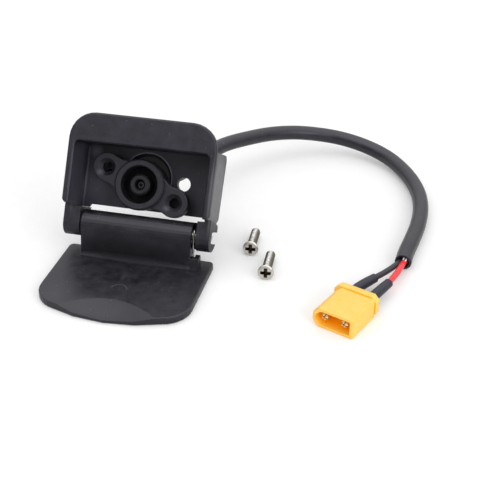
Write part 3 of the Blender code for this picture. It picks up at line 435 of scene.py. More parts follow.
# %% Group fine_dust
SPECK_EDGE, SPECK_CORE = 0.17, 0.05
SPECK_CHOICE = (0.86, 0.90)
DUST_SLOPE = 0.6


def make_fine_dust():
    tree, given, out = open_group(
        "fine_dust", [("Amount", "value", 0.3), ("Size", "value", 1100.0)], [("Dust", "value")])
    spot = put(tree, "ShaderNodeTexCoord").outputs["Object"]
    cells = put(tree, "ShaderNodeTexVoronoi", Vector=spot, Scale=given["Size"], Randomness=1.0)
    speck = remap(tree, cells.outputs["Distance"], SPECK_EDGE, SPECK_CORE)
    choice = put(tree, "ShaderNodeSeparateColor", Color=cells.outputs["Color"]).outputs[0]
    chosen = remap(tree, choice, *SPECK_CHOICE)
    up = put(tree, "ShaderNodeSeparateXYZ",
             Vector=put(tree, "ShaderNodeNewGeometry").outputs["True Normal"]).outputs["Z"]
    facing = remap(tree, up, 0.0, DUST_SLOPE)
    dust = calc(tree, "MULTIPLY", calc(tree, "MULTIPLY", speck, chosen), facing)
    fill(tree, out, Dust=calc(tree, "MULTIPLY", dust, given["Amount"]))
    return tree


FINE_DUST = make_fine_dust()

# %% [markdown]
# ## Shared effect: a soft spot
# Some marks and some painted light sit at one place: the painted highlight along the corner of the recess,
# the painted highlight on the rim of a countersink, the ring that an ejector pin leaves. This group measures
# how far a point is from a centre, in an ellipsoid that may lean. It gives a soft mask for the inside, a thin
# ring for the skin, and a mask of the far side, where a painted highlight on such a ring goes.

# %% Group soft_spot
FAR_RANGE = (-0.1, 0.4)


def make_soft_spot():
    tree, given, out = open_group("soft_spot", [
        ("Centre", "vector", None), ("Lean", "vector", None), ("Size", "vector", None),
        ("Core", "value", 0.4), ("Ring Width", "value", 0.15),
    ], [("Mask", "value"), ("Ring", "value"), ("Far", "value")])
    spot = put(tree, "ShaderNodeTexCoord").outputs["Object"]
    within = put(tree, "ShaderNodeMapping", settings={"vector_type": "TEXTURE"}, Vector=spot,
                 Location=given["Centre"], Rotation=given["Lean"], Scale=given["Size"])
    reach = put(tree, "ShaderNodeVectorMath", settings={"operation": "LENGTH"}, i0=within.outputs[0])
    distance = reach.outputs["Value"]
    inside = put(tree, "ShaderNodeMapRange", Value=distance, From_Min=1.0, From_Max=given["Core"])
    away = calc(tree, "ABSOLUTE", calc(tree, "SUBTRACT", distance, 1.0))
    ring = put(tree, "ShaderNodeMapRange", Value=away, From_Min=given["Ring Width"], From_Max=0.0)
    depth = put(tree, "ShaderNodeSeparateXYZ", Vector=within.outputs[0]).outputs["Y"]
    fill(tree, out, Mask=inside.outputs["Result"], Ring=ring.outputs["Result"],
         Far=remap(tree, depth, *FAR_RANGE))
    return tree


SOFT_SPOT = make_soft_spot()

# %% [markdown]
# ## Shared effect: painted hollow shade and glow
# Light that enters a translucent nylon shell turns deeper and warmer in its hollows. Here that is painted: a
# look around each point, a few millimetres far, says how enclosed it is, and the finish paints a deeper
# orange and a faint glow by that amount.

# %% Group hollows, the mask for painted hollow shade and glow
HOLLOW_RANGE = (0.62, 0.22)


def make_hollow_shade_and_glow():
    tree, given, out = open_group("hollows", [("Reach", "value", 0.006)], [("Hollow", "value")])
    around = put(tree, "ShaderNodeAmbientOcclusion", settings={"samples": 8}, Distance=given["Reach"])
    fill(tree, out, Hollow=remap(tree, around.outputs["AO"], *HOLLOW_RANGE))
    return tree


HOLLOW_SHADE_AND_GLOW = make_hollow_shade_and_glow()

# %% [markdown]
# ## Shared effect: plated metal
# Steel, nickel and gold plating differ in colour, and share fine drawing lines and small stains. The group
# varies colour and roughness, and gives a height for the lines.

# %% Group plated_metal
STAIN_SCALE, DRAWN_SCALE = 900.0, 6500.0
STAIN_RANGE = (0.45, 0.72)
DRAWN_ROUGHNESS, STAIN_ROUGHNESS = 0.12, 0.25


def make_plated_metal():
    tree, given, out = open_group("plated_metal", [
        ("Colour", "colour", (0.6, 0.6, 0.6, 1)), ("Stain", "colour", (0.3, 0.27, 0.2, 1)),
        ("Stained", "value", 0.3), ("Gloss", "value", 0.25),
    ], [("Colour", "colour"), ("Roughness", "value"), ("Height", "value")])
    spot = put(tree, "ShaderNodeTexCoord").outputs["Object"]
    cloud = put(tree, "ShaderNodeTexNoise", Vector=spot, Scale=STAIN_SCALE, Detail=5.0, Roughness=0.6)
    fine = put(tree, "ShaderNodeTexNoise", Vector=spot, Scale=DRAWN_SCALE, Detail=2.0, Roughness=0.5)
    stain = calc(tree, "MULTIPLY", remap(tree, cloud.outputs["Fac"], *STAIN_RANGE), given["Stained"])
    rough = calc(tree, "MULTIPLY_ADD", fine.outputs["Fac"], DRAWN_ROUGHNESS, given["Gloss"])
    fill(tree, out, Colour=blend_colour(tree, stain, given["Colour"], given["Stain"]),
         Roughness=calc(tree, "MULTIPLY_ADD", stain, STAIN_ROUGHNESS, rough), Height=fine.outputs["Fac"])
    return tree


PLATED_METAL = make_plated_metal()

# %% [markdown]
# ## Finishes
# One function builds each family of finish, and every material calls it with its own colours. The
# Principled shader, with its plain specular numbers, stays in the material itself.

# %% Open a material and raise its surface


def open_material(name, **plain):
    """A new material with its tree and its Principled shader; plain numbers go on the shader."""
    made = bpy.data.materials.new(name)
    made.use_nodes = True
    tree = made.node_tree
    return made, tree, fill(tree, tree.nodes["Principled BSDF"], **plain)


def raise_surface(tree, shader, height, strength, distance, normal):
    """Bump from a height, on top of the rounded normal of the soft edges."""
    bump = put(tree, "ShaderNodeBump", Height=height, Strength=strength, Distance=distance, Normal=normal)
    fill(tree, shader, Normal=bump.outputs[0])


print("materials before the first finish:", len(bpy.data.materials))

# %% [markdown]
# Moulded plastic is finely grained, matt in the flats and polished on its edges and where it is rubbed. The
# function starts from the grain group and lays the edges, the marks, the hollows and the dust over it.

# %% Moulded plastic
PLASTIC_BUMP = 0.00002
EDGE_WEAR, EDGE_POLISH = 0.55, -0.08
MARK_BREAKUP = (0.45, 0.85, 0.55, 1.0)
DUST_COLOUR = (0.55, 0.55, 0.56, 1)


def moulded(name, colour, rubbed, gloss, spread=0.18, rub=0.3, grain=9000.0, edge_radius=0.00009,
            edge_colour=None, dust=0.25, relief=0.35, marks=(), rings=(), dull=(), hollow=None, **plain):
    """Moulded plastic: grain, rub marks, polished edges, a few specks of dust and marks at their places.

    A mark is (centre, size, lean, core, colour), where the colour is often painted light or shade, a ring is
    (centre, size, lean, width, rise, colour of a painted highlight on its far side), a dull spot is (centre,
    size, lean, core, extra roughness) and hollow is (colour of the painted shade in hollows, colour of their
    painted glow).
    """
    made, tree, shader = open_material(name, **plain)
    skin = place_group(tree, MOULDED_GRAIN, Colour=(*colour, 1), Rubbed=(*rubbed, 1), Grain=grain,
                       Rub=rub, Gloss=gloss, Spread=spread)
    edges = place_group(tree, SOFT_EDGES, Radius=edge_radius)
    specks = place_group(tree, FINE_DUST, Amount=dust)
    edge_amount = calc(tree, "MULTIPLY", edges.outputs["Edge"], EDGE_WEAR)
    tone = blend_colour(tree, edge_amount, skin.outputs["Colour"], (*(edge_colour or rubbed), 1))
    height = skin.outputs["Height"]
    rough = calc(tree, "MULTIPLY_ADD", edges.outputs["Edge"], EDGE_POLISH, skin.outputs["Roughness"])

    def spot_at(centre, size, lean, **shape):
        return place_group(tree, SOFT_SPOT, Centre=centre, Size=size, Lean=(lean, 0.0, 0.0), **shape).outputs

    # Marks lay their colours at their places; many of them are painted light or shade.
    for *place, core, mark_colour in marks:
        mask = spot_at(*place, Core=core)["Mask"]
        amount = calc(tree, "MULTIPLY", mask, remap(tree, height, *MARK_BREAKUP))
        tone = blend_colour(tree, amount, tone, (*mark_colour, 1))
    # A ring's colour is a painted highlight on its far side; its rise is real relief.
    for *place, width, rise, ring_highlight_colour in rings:
        ring = spot_at(*place, Ring_Width=width)
        tone = blend_colour(tree, calc(tree, "MULTIPLY", ring["Ring"], ring["Far"]), tone, (*ring_highlight_colour, 1))
        height = calc(tree, "MULTIPLY_ADD", ring["Ring"], rise, height)
    for *place, core, extra in dull:
        rough = calc(tree, "MULTIPLY_ADD", spot_at(*place, Core=core)["Mask"], extra, rough)
    # Painted shade and a painted glow in the hollows, for light inside a translucent shell.
    if hollow:
        hollow_shade_colour, glow = hollow
        deep = place_group(tree, HOLLOW_SHADE_AND_GLOW).outputs["Hollow"]
        tone = blend_colour(tree, deep, tone, (*hollow_shade_colour, 1))
        fill(tree, shader, Emission_Color=blend_colour(tree, deep, (0, 0, 0, 1), (*glow, 1)))
    tone = blend_colour(tree, specks.outputs["Dust"], tone, DUST_COLOUR)
    fill(tree, shader, Base_Color=tone, Roughness=rough)
    raise_surface(tree, shader, height, relief, PLASTIC_BUMP, edges.outputs["Normal"])
    return made


print("moulded plastic uses", ", ".join(g.name for g in (MOULDED_GRAIN, SOFT_EDGES, FINE_DUST, SOFT_SPOT)))

# %% [markdown]
# Metal is the plated group with brighter edges. A painted highlight colour can be laid on the faces that look
# straight up, such as a bright stripe along the top of a shank that lies on the floor.

# %% Plated and bare metal
METAL_RELIEF, METAL_BUMP = 0.2, 0.00001
METAL_EDGE_WEAR = 0.6
HIGHLIGHT_SLOPE = (0.82, 0.88)
HIGHLIGHT_BREAKUP = (0.44, 0.60, 0.1, 1.0)


def plated(name, colour, stain, gloss, stained=0.3, edge_radius=0.00005, edge_gain=1.25, top_highlight=None):
    """Plated or bare metal with stains in its hollows; a painted highlight colour goes on what faces up."""
    made, tree, shader = open_material(name, Metallic=1.0)
    skin = place_group(tree, PLATED_METAL, Colour=(*colour, 1), Stain=(*stain, 1), Stained=stained,
                       Gloss=gloss)
    edges = place_group(tree, SOFT_EDGES, Radius=edge_radius)
    bright = [min(1.0, value * edge_gain) for value in colour]
    edge_amount = calc(tree, "MULTIPLY", edges.outputs["Edge"], METAL_EDGE_WEAR)
    tone = blend_colour(tree, edge_amount, skin.outputs["Colour"], (*bright, 1))
    if top_highlight:
        facing = put(tree, "ShaderNodeNewGeometry").outputs["Normal"]
        up = put(tree, "ShaderNodeSeparateXYZ", Vector=facing).outputs["Z"]
        broken = remap(tree, skin.outputs["Height"], *HIGHLIGHT_BREAKUP)
        highlight_mask = calc(tree, "MULTIPLY", remap(tree, up, *HIGHLIGHT_SLOPE), broken)
        tone = blend_colour(tree, highlight_mask, tone, (*top_highlight, 1))
    fill(tree, shader, Base_Color=tone, Roughness=skin.outputs["Roughness"])
    raise_surface(tree, shader, skin.outputs["Height"], METAL_RELIEF, METAL_BUMP, edges.outputs["Normal"])
    return made


print("metal uses", PLATED_METAL.name, "and", SOFT_EDGES.name)

# %% [markdown]
# ## Marks at their places
# Moulding and use have left marks that no even noise can give, and light and shade are painted in the same
# way. The recess has painted light on its left side and a painted highlight on its left corner, the flange a
# painted reflection on its right side, the back wall painted shade under the recess's top, and the
# countersinks and the cable hole painted highlights on their rims. The cover has the ring of an ejector pin
# with a painted highlight on its far side, a few paler places, painted light on its ledge and painted shade
# on the front of its neck, and is dull in front of its barrel and on it. Each mark is a soft spot.

# %% The housing's own frame
LEAN_BACK = radians(30.5)
HINGE = Vector((0.0, 0.014, 0.00859))
PLAY_ON_PIN = Vector((-0.0002, 0.0, 0.0))
HOUSING_SEAT = HINGE + PLAY_ON_PIN
UPRIGHT = Matrix.Translation(HOUSING_SEAT) @ Matrix.Rotation(-LEAN_BACK, 4, "X")


def in_housing(x, y, z):
    """A place in the housing's own upright frame, in metres about the hinge, as the frame's point."""
    return tuple(UPRIGHT @ Vector((x, y, z)))


def housing_marks(*rows):
    """Marks given as (place, size, ...) in the housing's own frame, which lean back with it."""
    return [(in_housing(*place), size, -LEAN_BACK, *rest) for place, size, *rest in rows]


print("the housing stands on", tuple(round(value, 4) for value in HOUSING_SEAT))

# %% Marks, painted light and painted shade at their places
HOUSING_PAINTED_LIGHT_AND_SHADE = housing_marks(
    # Painted light on the recess's left wall.
    ((-0.0168, -0.0010, 0.0115), (0.0007, 0.0085, 0.0120), 0.5, (0.050, 0.048, 0.066)),
    # Painted light on the left of the back wall.
    ((-0.0142, 0.0042, 0.0105), (0.0050, 0.0030, 0.0085), 0.2, (0.052, 0.050, 0.068)),
    # A painted highlight streak at the upper left of the back wall.
    ((-0.0148, 0.0041, 0.0178), (0.0020, 0.0008, 0.0022), 0.1, (0.095, 0.092, 0.118)),
    # A painted highlight along the recess's left corner.
    ((-0.0167, 0.0041, 0.0115), (0.0005, 0.0005, 0.0095), 0.2, (0.130, 0.130, 0.160)),
    # A painted reflection on the housing's right side.
    ((0.0180, 0.0005, 0.0110), (0.0007, 0.0090, 0.0130), 0.5, (0.136, 0.133, 0.137)),
    # Painted shade at the top of the back wall, under the recess's top.
    ((0.0010, 0.0042, 0.0195), (0.0140, 0.0008, 0.0030), 0.3, (0.020, 0.020, 0.024)),
)
SOCKET_PAINTED_HIGHLIGHTS = housing_marks(
    # Painted highlights at the lower left of both countersinks' rims.
    ((-0.0113, -0.0008, 0.0127), (0.0013, 0.0009, 0.0010), 0.1, (0.085, 0.085, 0.105)),
    ((0.0064, -0.0008, 0.0058), (0.0013, 0.0009, 0.0010), 0.1, (0.085, 0.085, 0.105)),
)
COVER_PATCHES_AND_PAINTED_LIGHT = (
    # Paler patches on the cover.
    ((-0.0128, -0.0085, 0.0020), (0.0060, 0.0080, 0.0010), 0.0, 0.1, (0.018, 0.018, 0.023)),
    ((0.0020, -0.0015, 0.0020), (0.0110, 0.0022, 0.0010), 0.0, 0.1, (0.012, 0.012, 0.016)),
    ((0.0135, -0.0040, 0.0020), (0.0110, 0.0140, 0.0010), 0.0, 0.1, (0.022, 0.022, 0.026)),
    ((-0.0030, -0.0098, 0.0014), (0.0100, 0.0052, 0.0012), 0.0, 0.5, (0.021, 0.021, 0.024)),
    ((-0.0006, 0.0024, 0.0020), (0.0007, 0.0016, 0.0005), 0.0, 0.1, (0.030, 0.030, 0.036)),
    # Painted light on the ledge at the right end of the neck.
    ((0.0144, 0.0098, 0.0034), (0.0022, 0.0012, 0.0022), 0.0, 0.6, (0.026, 0.026, 0.030)),
    # Painted shade on the front of the neck, in front of the barrel.
    ((-0.0020, 0.0098, 0.0052), (0.0158, 0.0012, 0.0036), 0.0, 0.6, (0.0004, 0.0004, 0.0010)),
)
HOLE_RIM_HIGHLIGHT = housing_marks(
    # A painted highlight on the rim of the cable hole; this ring has no relief.
    ((-0.0009, 0.00366, 0.0125), (0.00743, 0.0009, 0.00743), 0.05, 0.0, (0.150, 0.150, 0.175)),
)
# The ejector pin's ring, raised in relief, with a painted highlight on its far side.
EJECTOR_RING_AND_HIGHLIGHT = ((0.0, -0.0027, 0.00197), (0.0019, 0.0019, 0.0009), 0.0, 0.10, 1.2, (0.075, 0.075, 0.085))
COVER_DULL = (
    ((-0.0003, 0.0098, 0.0022), (0.0165, 0.0013, 0.0013), 0.0, 0.5, 0.42),
    ((-0.0003, 0.0140, 0.0086), (0.0165, 0.0040, 0.0040), 0.0, 0.7, 0.08),
)
print(len(HOUSING_PAINTED_LIGHT_AND_SHADE) + len(SOCKET_PAINTED_HIGHLIGHTS) + len(COVER_PATCHES_AND_PAINTED_LIGHT), "marks")

# %% [markdown]
# ## The finishes of this inlet
# The housing and the cover are black moulded plastic with a bluish sheen, and the socket is a greyer plastic
# with a finer grain. Boot, cable, wires and shrink sleeves are rubber and soft plastic, from matt to glossy.
# The connector is yellow nylon, which light enters; its hollows are painted a deeper orange with a faint
# painted glow, and its edges a deeper orange, for that light.

# %% The finishes of this inlet
BLUE_SHEEN = (0.90, 0.90, 1.0, 1.0)
HOUSING_BLACK = moulded("housing_black", (0.0012, 0.0011, 0.0032), (0.024, 0.024, 0.032), 0.46, rub=0.4,
                        marks=HOUSING_PAINTED_LIGHT_AND_SHADE, rings=HOLE_RIM_HIGHLIGHT, Specular_Tint=BLUE_SHEEN)
COVER_BLACK = moulded("cover_black", (0.0004, 0.0004, 0.0014), (0.018, 0.018, 0.024), 0.43, rub=0.5,
                      marks=COVER_PATCHES_AND_PAINTED_LIGHT, rings=[EJECTOR_RING_AND_HIGHLIGHT], dull=COVER_DULL, Specular_Tint=BLUE_SHEEN)
SOCKET_GREY = moulded("socket_grey", (0.0022, 0.0022, 0.0040), (0.014, 0.014, 0.018), 0.52, rub=0.15,
                      grain=12000.0, dust=0.15, marks=SOCKET_PAINTED_HIGHLIGHTS, Specular_Tint=BLUE_SHEEN)
CORE_GREY = moulded("core_grey", (0.004, 0.004, 0.0055), (0.012, 0.012, 0.015), 0.52, rub=0.1,
                    grain=12000.0, dust=0.05, Specular_IOR_Level=0.35)
# Painted shade: a near black with little gloss, for pieces that stand where there is only shade.
PAINTED_SHADE_BLACK = moulded("painted_shade_black", (0.002, 0.002, 0.003), (0.003, 0.003, 0.004), 0.6, rub=0.1,
                     grain=12000.0, dust=0.0, Specular_IOR_Level=0.12)
BOOT_RUBBER = moulded("boot_rubber", (0.012, 0.012, 0.014), (0.028, 0.028, 0.031), 0.62, rub=0.2,
                      grain=6000.0, dust=0.3)
CABLE_SKIN = moulded("cable_skin", (0.007, 0.007, 0.010), (0.028, 0.028, 0.034), 0.36, rub=0.25,
                     grain=5000.0, dust=0.35, Specular_Tint=BLUE_SHEEN)
RED_SKIN = moulded("red_skin", (0.78, 0.012, 0.020), (0.88, 0.09, 0.09), 0.30, rub=0.3, dust=0.0)
BLACK_SKIN = moulded("black_skin", (0.012, 0.012, 0.016), (0.030, 0.030, 0.037), 0.42, rub=0.15, dust=0.1)
SHRINK_SKIN = moulded("shrink_skin", (0.006, 0.007, 0.014), (0.026, 0.027, 0.042), 0.48, rub=0.3, dust=0.2,
                      relief=0.5, Specular_Tint=BLUE_SHEEN)
FILLER = moulded("filler_thread", (0.75, 0.75, 0.78), (0.85, 0.85, 0.86), 0.6, rub=0.1, dust=0.0)
# The deeper orange on the nylon's edges, and the deeper orange and faint glow in its hollows, are painted
# light for the light inside it.
YELLOW_NYLON = moulded("yellow_nylon", (0.93, 0.525, 0.040), (0.97, 0.65, 0.14), 0.40, spread=0.05, rub=0.25,
                       edge_radius=0.00018, edge_colour=(1.0, 0.57, 0.06), dust=0.0, relief=0.15,
                       hollow=((1.0, 0.44, 0.004), (0.13, 0.055, 0.0)), Emission_Strength=1.0,
                       Specular_IOR_Level=1.0)
STEEL = plated("bright_steel", (0.50, 0.49, 0.47), (0.12, 0.11, 0.09), 0.20, stained=0.7)
# The spring's heavy dark patches are painted shade for the dark gap round it, between its glints.
SPRING_STEEL_SHADED = plated("spring_steel_painted_shade", (0.42, 0.41, 0.39), (0.03, 0.027, 0.022), 0.22, stained=0.9,
                      edge_gain=1.0)
# The screw head's darker rim is painted shade.
SCREW_HEAD = plated("screw_head", (0.63, 0.61, 0.565), (0.28, 0.24, 0.18), 0.30, stained=0.4,
                    edge_radius=0.00016, edge_gain=0.42)
# The thread's dark colour is painted shade for the dark reflections along the shank, and its top colour is a
# painted highlight stripe.
SCREW_THREAD_SHADE_AND_HIGHLIGHT = plated("screw_thread", (0.17, 0.16, 0.125), (0.07, 0.06, 0.040), 0.30, stained=0.7,
                      edge_gain=1.0, top_highlight=(0.62, 0.61, 0.63))
SCREW_RECESS = plated("screw_recess", (0.10, 0.075, 0.055), (0.02, 0.014, 0.010), 0.35, stained=0.8)
RING_METAL = plated("ring_metal", (0.11, 0.11, 0.13), (0.04, 0.04, 0.05), 0.25, stained=0.6)
CONTACT = plated("contact_plate", (0.72, 0.68, 0.58), (0.40, 0.34, 0.22), 0.20)
# The centre contact is nearly black: painted shade for the deep hole that it sits in.
CONTACT_IN_PAINTED_SHADE = plated("contact_in_painted_shade", (0.020, 0.018, 0.016), (0.010, 0.009, 0.008), 0.5, stained=0.8)
GOLD = plated("gold_plate", (0.93, 0.72, 0.36), (0.62, 0.40, 0.14), 0.16, stained=0.25)
print(len(bpy.data.materials), "materials")

# %% [markdown]
# Eleven CAD nodes keep their own shape, because their solids already have the forms that the camera sees.
# They need only a finish, and so do the cable and its wires.

# %% Dress the CAD nodes that keep their shape, and the cord
KEPT_NODES = {
    "housing": HOUSING_BLACK, "cover": COVER_BLACK, "socket_body": SOCKET_GREY, "socket_core": CORE_GREY,
    "centre_contact": CONTACT_IN_PAINTED_SHADE, "outer_contact": CONTACT, "strain_relief": BOOT_RUBBER,
    "connector_shell": YELLOW_NYLON, "connector_cap": YELLOW_NYLON,
    "contact_pin_1": GOLD, "contact_pin_2": GOLD,
}
for node_name, finish in KEPT_NODES.items():
    dress(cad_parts[node_name], finish)
for piece, finish in (
    (cable, CABLE_SKIN), (wires["black"], BLACK_SKIN), (wires["red"], RED_SKIN),
    (sleeves["black"], SHRINK_SKIN), (sleeves["red"], SHRINK_SKIN), *((thread, FILLER) for thread in fillers),
):
    dress(piece, finish)
print("dressed", len(KEPT_NODES), "nodes")

# %% [markdown]
# ## Turned pieces
# Screws and pin are turned parts. One helper skins a stack of rings, each a radius at a height that may
# change with the angle, which is all that a thread or a knurl needs.

# %% Skin a stack of rings


def ring_stack(rings, sides, matrix):
    """A closed mesh through rings of (height, radius); a radius is a number or a function of the angle."""
    return skin_over([[matrix @ Vector((x, y, height)) for x, y in circle(radius, sides)]
                      for height, radius in rings])


sample = ring_stack([(0.0, 0.001), (0.002, 0.001)], 12, Matrix.Identity(4))
print("a short rod has", len(sample.faces), "faces")
sample.free()

# %% [markdown]
# ## Small fitted pieces
# A few thin pieces close places that the CAD solids leave open by a working gap. Three of them are turned
# rings: the floor of the socket's bore, in a near black that paints the shade deep in the bore, the ring in
# its centre contact, and a sleeve in the wall's left screw hole, in the same painted shade black, so the hole
# reads dark behind the socket's left ear.

# %% Rings about an axis along the housing's depth
LATHE_SIDES = 36
BORE_AXIS = UPRIGHT @ Matrix.Translation((-0.0009, 0.0, 0.01065))
LEFT_SCREW_AXIS = UPRIGHT @ Matrix.Translation((-0.0104, 0.0, 0.0121))


def lathe(front, back, inner, outer, axis):
    """A square ring between two depths and two radii, turned about the depth axis."""
    profile = [(front, inner), (front, outer), (back, outer), (back, inner)]
    return skin_over([[axis @ Vector((x, depth, z)) for x, z in circle(radius, LATHE_SIDES)]
                      for depth, radius in profile], closed_round=True)


for name, ring, finish, slot_name in (
    ("bore_floor", lathe(0.00245, 0.00262, 0.00258, 0.00456, BORE_AXIS), PAINTED_SHADE_BLACK, "socket_plastic"),
    ("contact_ring", lathe(-0.0001, 0.0001, 0.00052, 0.00064, BORE_AXIS), RING_METAL, "contact_metal"),
    ("screw_sleeve", lathe(0.0043, 0.0058, 0.00110, 0.00168, LEFT_SCREW_AXIS), PAINTED_SHADE_BLACK, "black_plastic"),
):
    dress(add_piece(name, ring), finish)

# %% [markdown]
# From behind, the spring would show through the open back of the right ear, where the real part most likely
# has a thin wall. The guard is part of a thin shell about the pin, and ends where the spring's leg passes.
# Its near black is painted shade, which keeps the gap round the spring dark.

# %% The guard behind the spring
GUARD_X = (0.01372, 0.01486)
GUARD_RADII = (0.00240, 0.00325)
GUARD_ANGLES = (radians(-75), radians(97))
GUARD_STEPS = 20


def guard_mesh():
    """A half shell about the pin, on the far side from the cover's neck."""
    (left, right), (inner, outer), (first, last) = GUARD_X, GUARD_RADII, GUARD_ANGLES
    corners = ((left, inner), (left, outer), (right, outer), (right, inner))
    loops = []
    for step in range(GUARD_STEPS + 1):
        angle = first + (last - first) * step / GUARD_STEPS
        loops.append([in_housing(x, radius * cos(angle), radius * sin(angle)) for x, radius in corners])
    return skin_over(loops)


dress(add_piece("spring_guard", guard_mesh()), PAINTED_SHADE_BLACK)

# %% [markdown]
# The connector's shell and rear cap are two mouldings. The gap between them is filled with a thin prism of
# the shell's own outline, a tenth of a millimetre inside it, so that the seam reads as a fine groove.

# %% The connector's seam
SEAM_Y = (0.0097, 0.0102)
SEAM_INSET = 0.00010
CONNECTOR_PLACE = Matrix.Translation((0.05067, -0.00473, 0.0)) @ Matrix.Rotation(radians(-21.04), 4, "Z")
SHELL_HALF_WIDTH, SHELL_HEIGHT, SHELL_SLOPE = 0.00517, 0.00515, 0.0015


def seam_mesh():
    """The shell's own outline, a little inside it, across the gap to the cap."""
    left, right = -SHELL_HALF_WIDTH + SEAM_INSET, SHELL_HALF_WIDTH - SEAM_INSET
    low, high = 2 * SEAM_INSET, SHELL_HEIGHT - SEAM_INSET
    outline = [(left + SHELL_SLOPE, low), (right, low), (right, high), (left + SHELL_SLOPE, high),
               (left, high - SHELL_SLOPE), (left, low + SHELL_SLOPE)]
    return skin_over([[CONNECTOR_PLACE @ Vector((x, y, z)) for x, z in outline] for y in SEAM_Y])


dress(add_piece("connector_seam", seam_mesh()), YELLOW_NYLON)

# %% [markdown]
# ## Screws
# Two small countersunk machine screws with a raised head and a cross recess. The real thread is a ridge
# that winds round the shank, so the radius here depends on height and angle together: a triangle wave
# whose phase turns once for each pitch.

# %% Rings of a screw, from the top of its head to its tip
SCREW_HEAD_RADIUS = 0.00195
SCREW_DOME = 0.0004
SCREW_RIM = 0.00025
SCREW_SHANK_RADIUS = 0.00117
SCREW_LENGTH = 0.0102
SCREW_TIP = 0.0004
DOME_TURNS = (0.12, 0.35, 0.6, 0.85, 1.1, 1.35)
THREAD_PITCH = 0.00035
THREAD_DEPTH = 0.00010
THREAD_STEPS = 8


def thread_radius(height, limit):
    """Radius of the thread at a height, as a function of the angle."""
    def at(angle):
        share = (height / THREAD_PITCH - angle / tau) % 1.0
        return min(SCREW_SHANK_RADIUS - THREAD_DEPTH * abs(2 * share - 1), limit)
    return at


def screw_rings():
    head = SCREW_DOME + SCREW_RIM
    neck = head + SCREW_HEAD_RADIUS - SCREW_SHANK_RADIUS
    rings = [(SCREW_DOME * (1 - cos(turn)), SCREW_HEAD_RADIUS * sin(turn)) for turn in DOME_TURNS]
    rings += [(SCREW_DOME, SCREW_HEAD_RADIUS), (head, SCREW_HEAD_RADIUS), (neck, SCREW_SHANK_RADIUS),
              (neck + THREAD_PITCH / 2, SCREW_SHANK_RADIUS)]
    start = neck + THREAD_PITCH
    count = int((SCREW_LENGTH - start) / THREAD_PITCH * THREAD_STEPS)
    for step in range(count + 1):
        height = start + (SCREW_LENGTH - start) * step / count
        limit = SCREW_SHANK_RADIUS - max(0.0, height - SCREW_LENGTH + SCREW_TIP)
        rings.append((height, thread_radius(height, limit)))
    return rings


print("a screw has", len(screw_rings()), "rings")

# %% [markdown]
# The cross recess narrows with depth, as the driver's tip does. Two wedges are cut out of the head with an
# exact Boolean, which keeps the faces flat and the edges clean.

# %% Cut the cross recess
CROSS_SPAN = 0.0031
CROSS_WIDTH = 0.0010
CROSS_DEPTH = 0.0012
CROSS_TAPER = 0.45


def cross_wedge(half_u, half_v):
    """A wedge that narrows with depth, for one arm of the cross recess."""
    corners = ((-half_u, -half_v), (half_u, -half_v), (half_u, half_v), (-half_u, half_v))
    return skin_over([[(u * share, v * share, height) for u, v in corners]
                      for height, share in ((-CROSS_DEPTH / 3, 1.0), (CROSS_DEPTH, CROSS_TAPER))])


def hold(name, bm):
    """A mesh as an object of its own, for as long as the Boolean needs it."""
    holder = bpy.data.objects.new(name, bpy.data.meshes.new(name))
    bpy.context.scene.collection.objects.link(holder)
    bm.to_mesh(holder.data)
    bm.free()
    return holder


def cut_out(bm, tools):
    """Takes each tool mesh out of the mesh with an exact Boolean, and returns the result."""
    blank = hold("blank", bm)
    wedges = [hold("wedge", tool) for tool in tools]
    for wedge in wedges:
        step = blank.modifiers.new("cut", "BOOLEAN")
        step.operation, step.solver, step.object = "DIFFERENCE", "EXACT", wedge
    made = bmesh.new()
    made.from_mesh(blank.evaluated_get(bpy.context.evaluated_depsgraph_get()).to_mesh())
    for spare in [blank, *wedges]:
        bpy.data.objects.remove(spare)
    return made


print("the cross is %.1f mm across" % (CROSS_SPAN * 1000))

# %% [markdown]
# The screw is bright on its head and darkest in its recess; its thread is darker, painted shade for the dark
# reflections along the shank, under a painted highlight stripe on top. So its faces are painted by where they
# lie. Each screw lies on the rim of its head and the end of its shank.

# %% Paint and place the screws
SCREW_SIDES = 28
SCREW_LIFT = 0.00015
SCREW_PLACES = (((0.02575, 0.02161), radians(4.9)), ((0.03180, 0.01190), radians(4.9)))
FLAT_FACE = 0.8
SHANK_SHARE = 0.8


def paint_screw(bm):
    """Slot 0 for the bright head, slot 1 for the darker thread and slot 2 for the cross recess."""
    neck = SCREW_DOME + SCREW_RIM + (SCREW_HEAD_RADIUS - SCREW_SHANK_RADIUS) / 2
    for face in bm.faces:
        middle = face.calc_center_median()
        reach = middle.xy.length
        steep = abs(face.normal.z) < FLAT_FACE
        in_cross = middle.z < CROSS_DEPTH + SCREW_TIP and reach < CROSS_SPAN / 2
        if middle.z > neck and reach > SCREW_SHANK_RADIUS * SHANK_SHARE:
            face.material_index = 1
        elif (steep and in_cross) or abs(middle.z - CROSS_DEPTH) < SCREW_RIM:
            face.material_index = 2


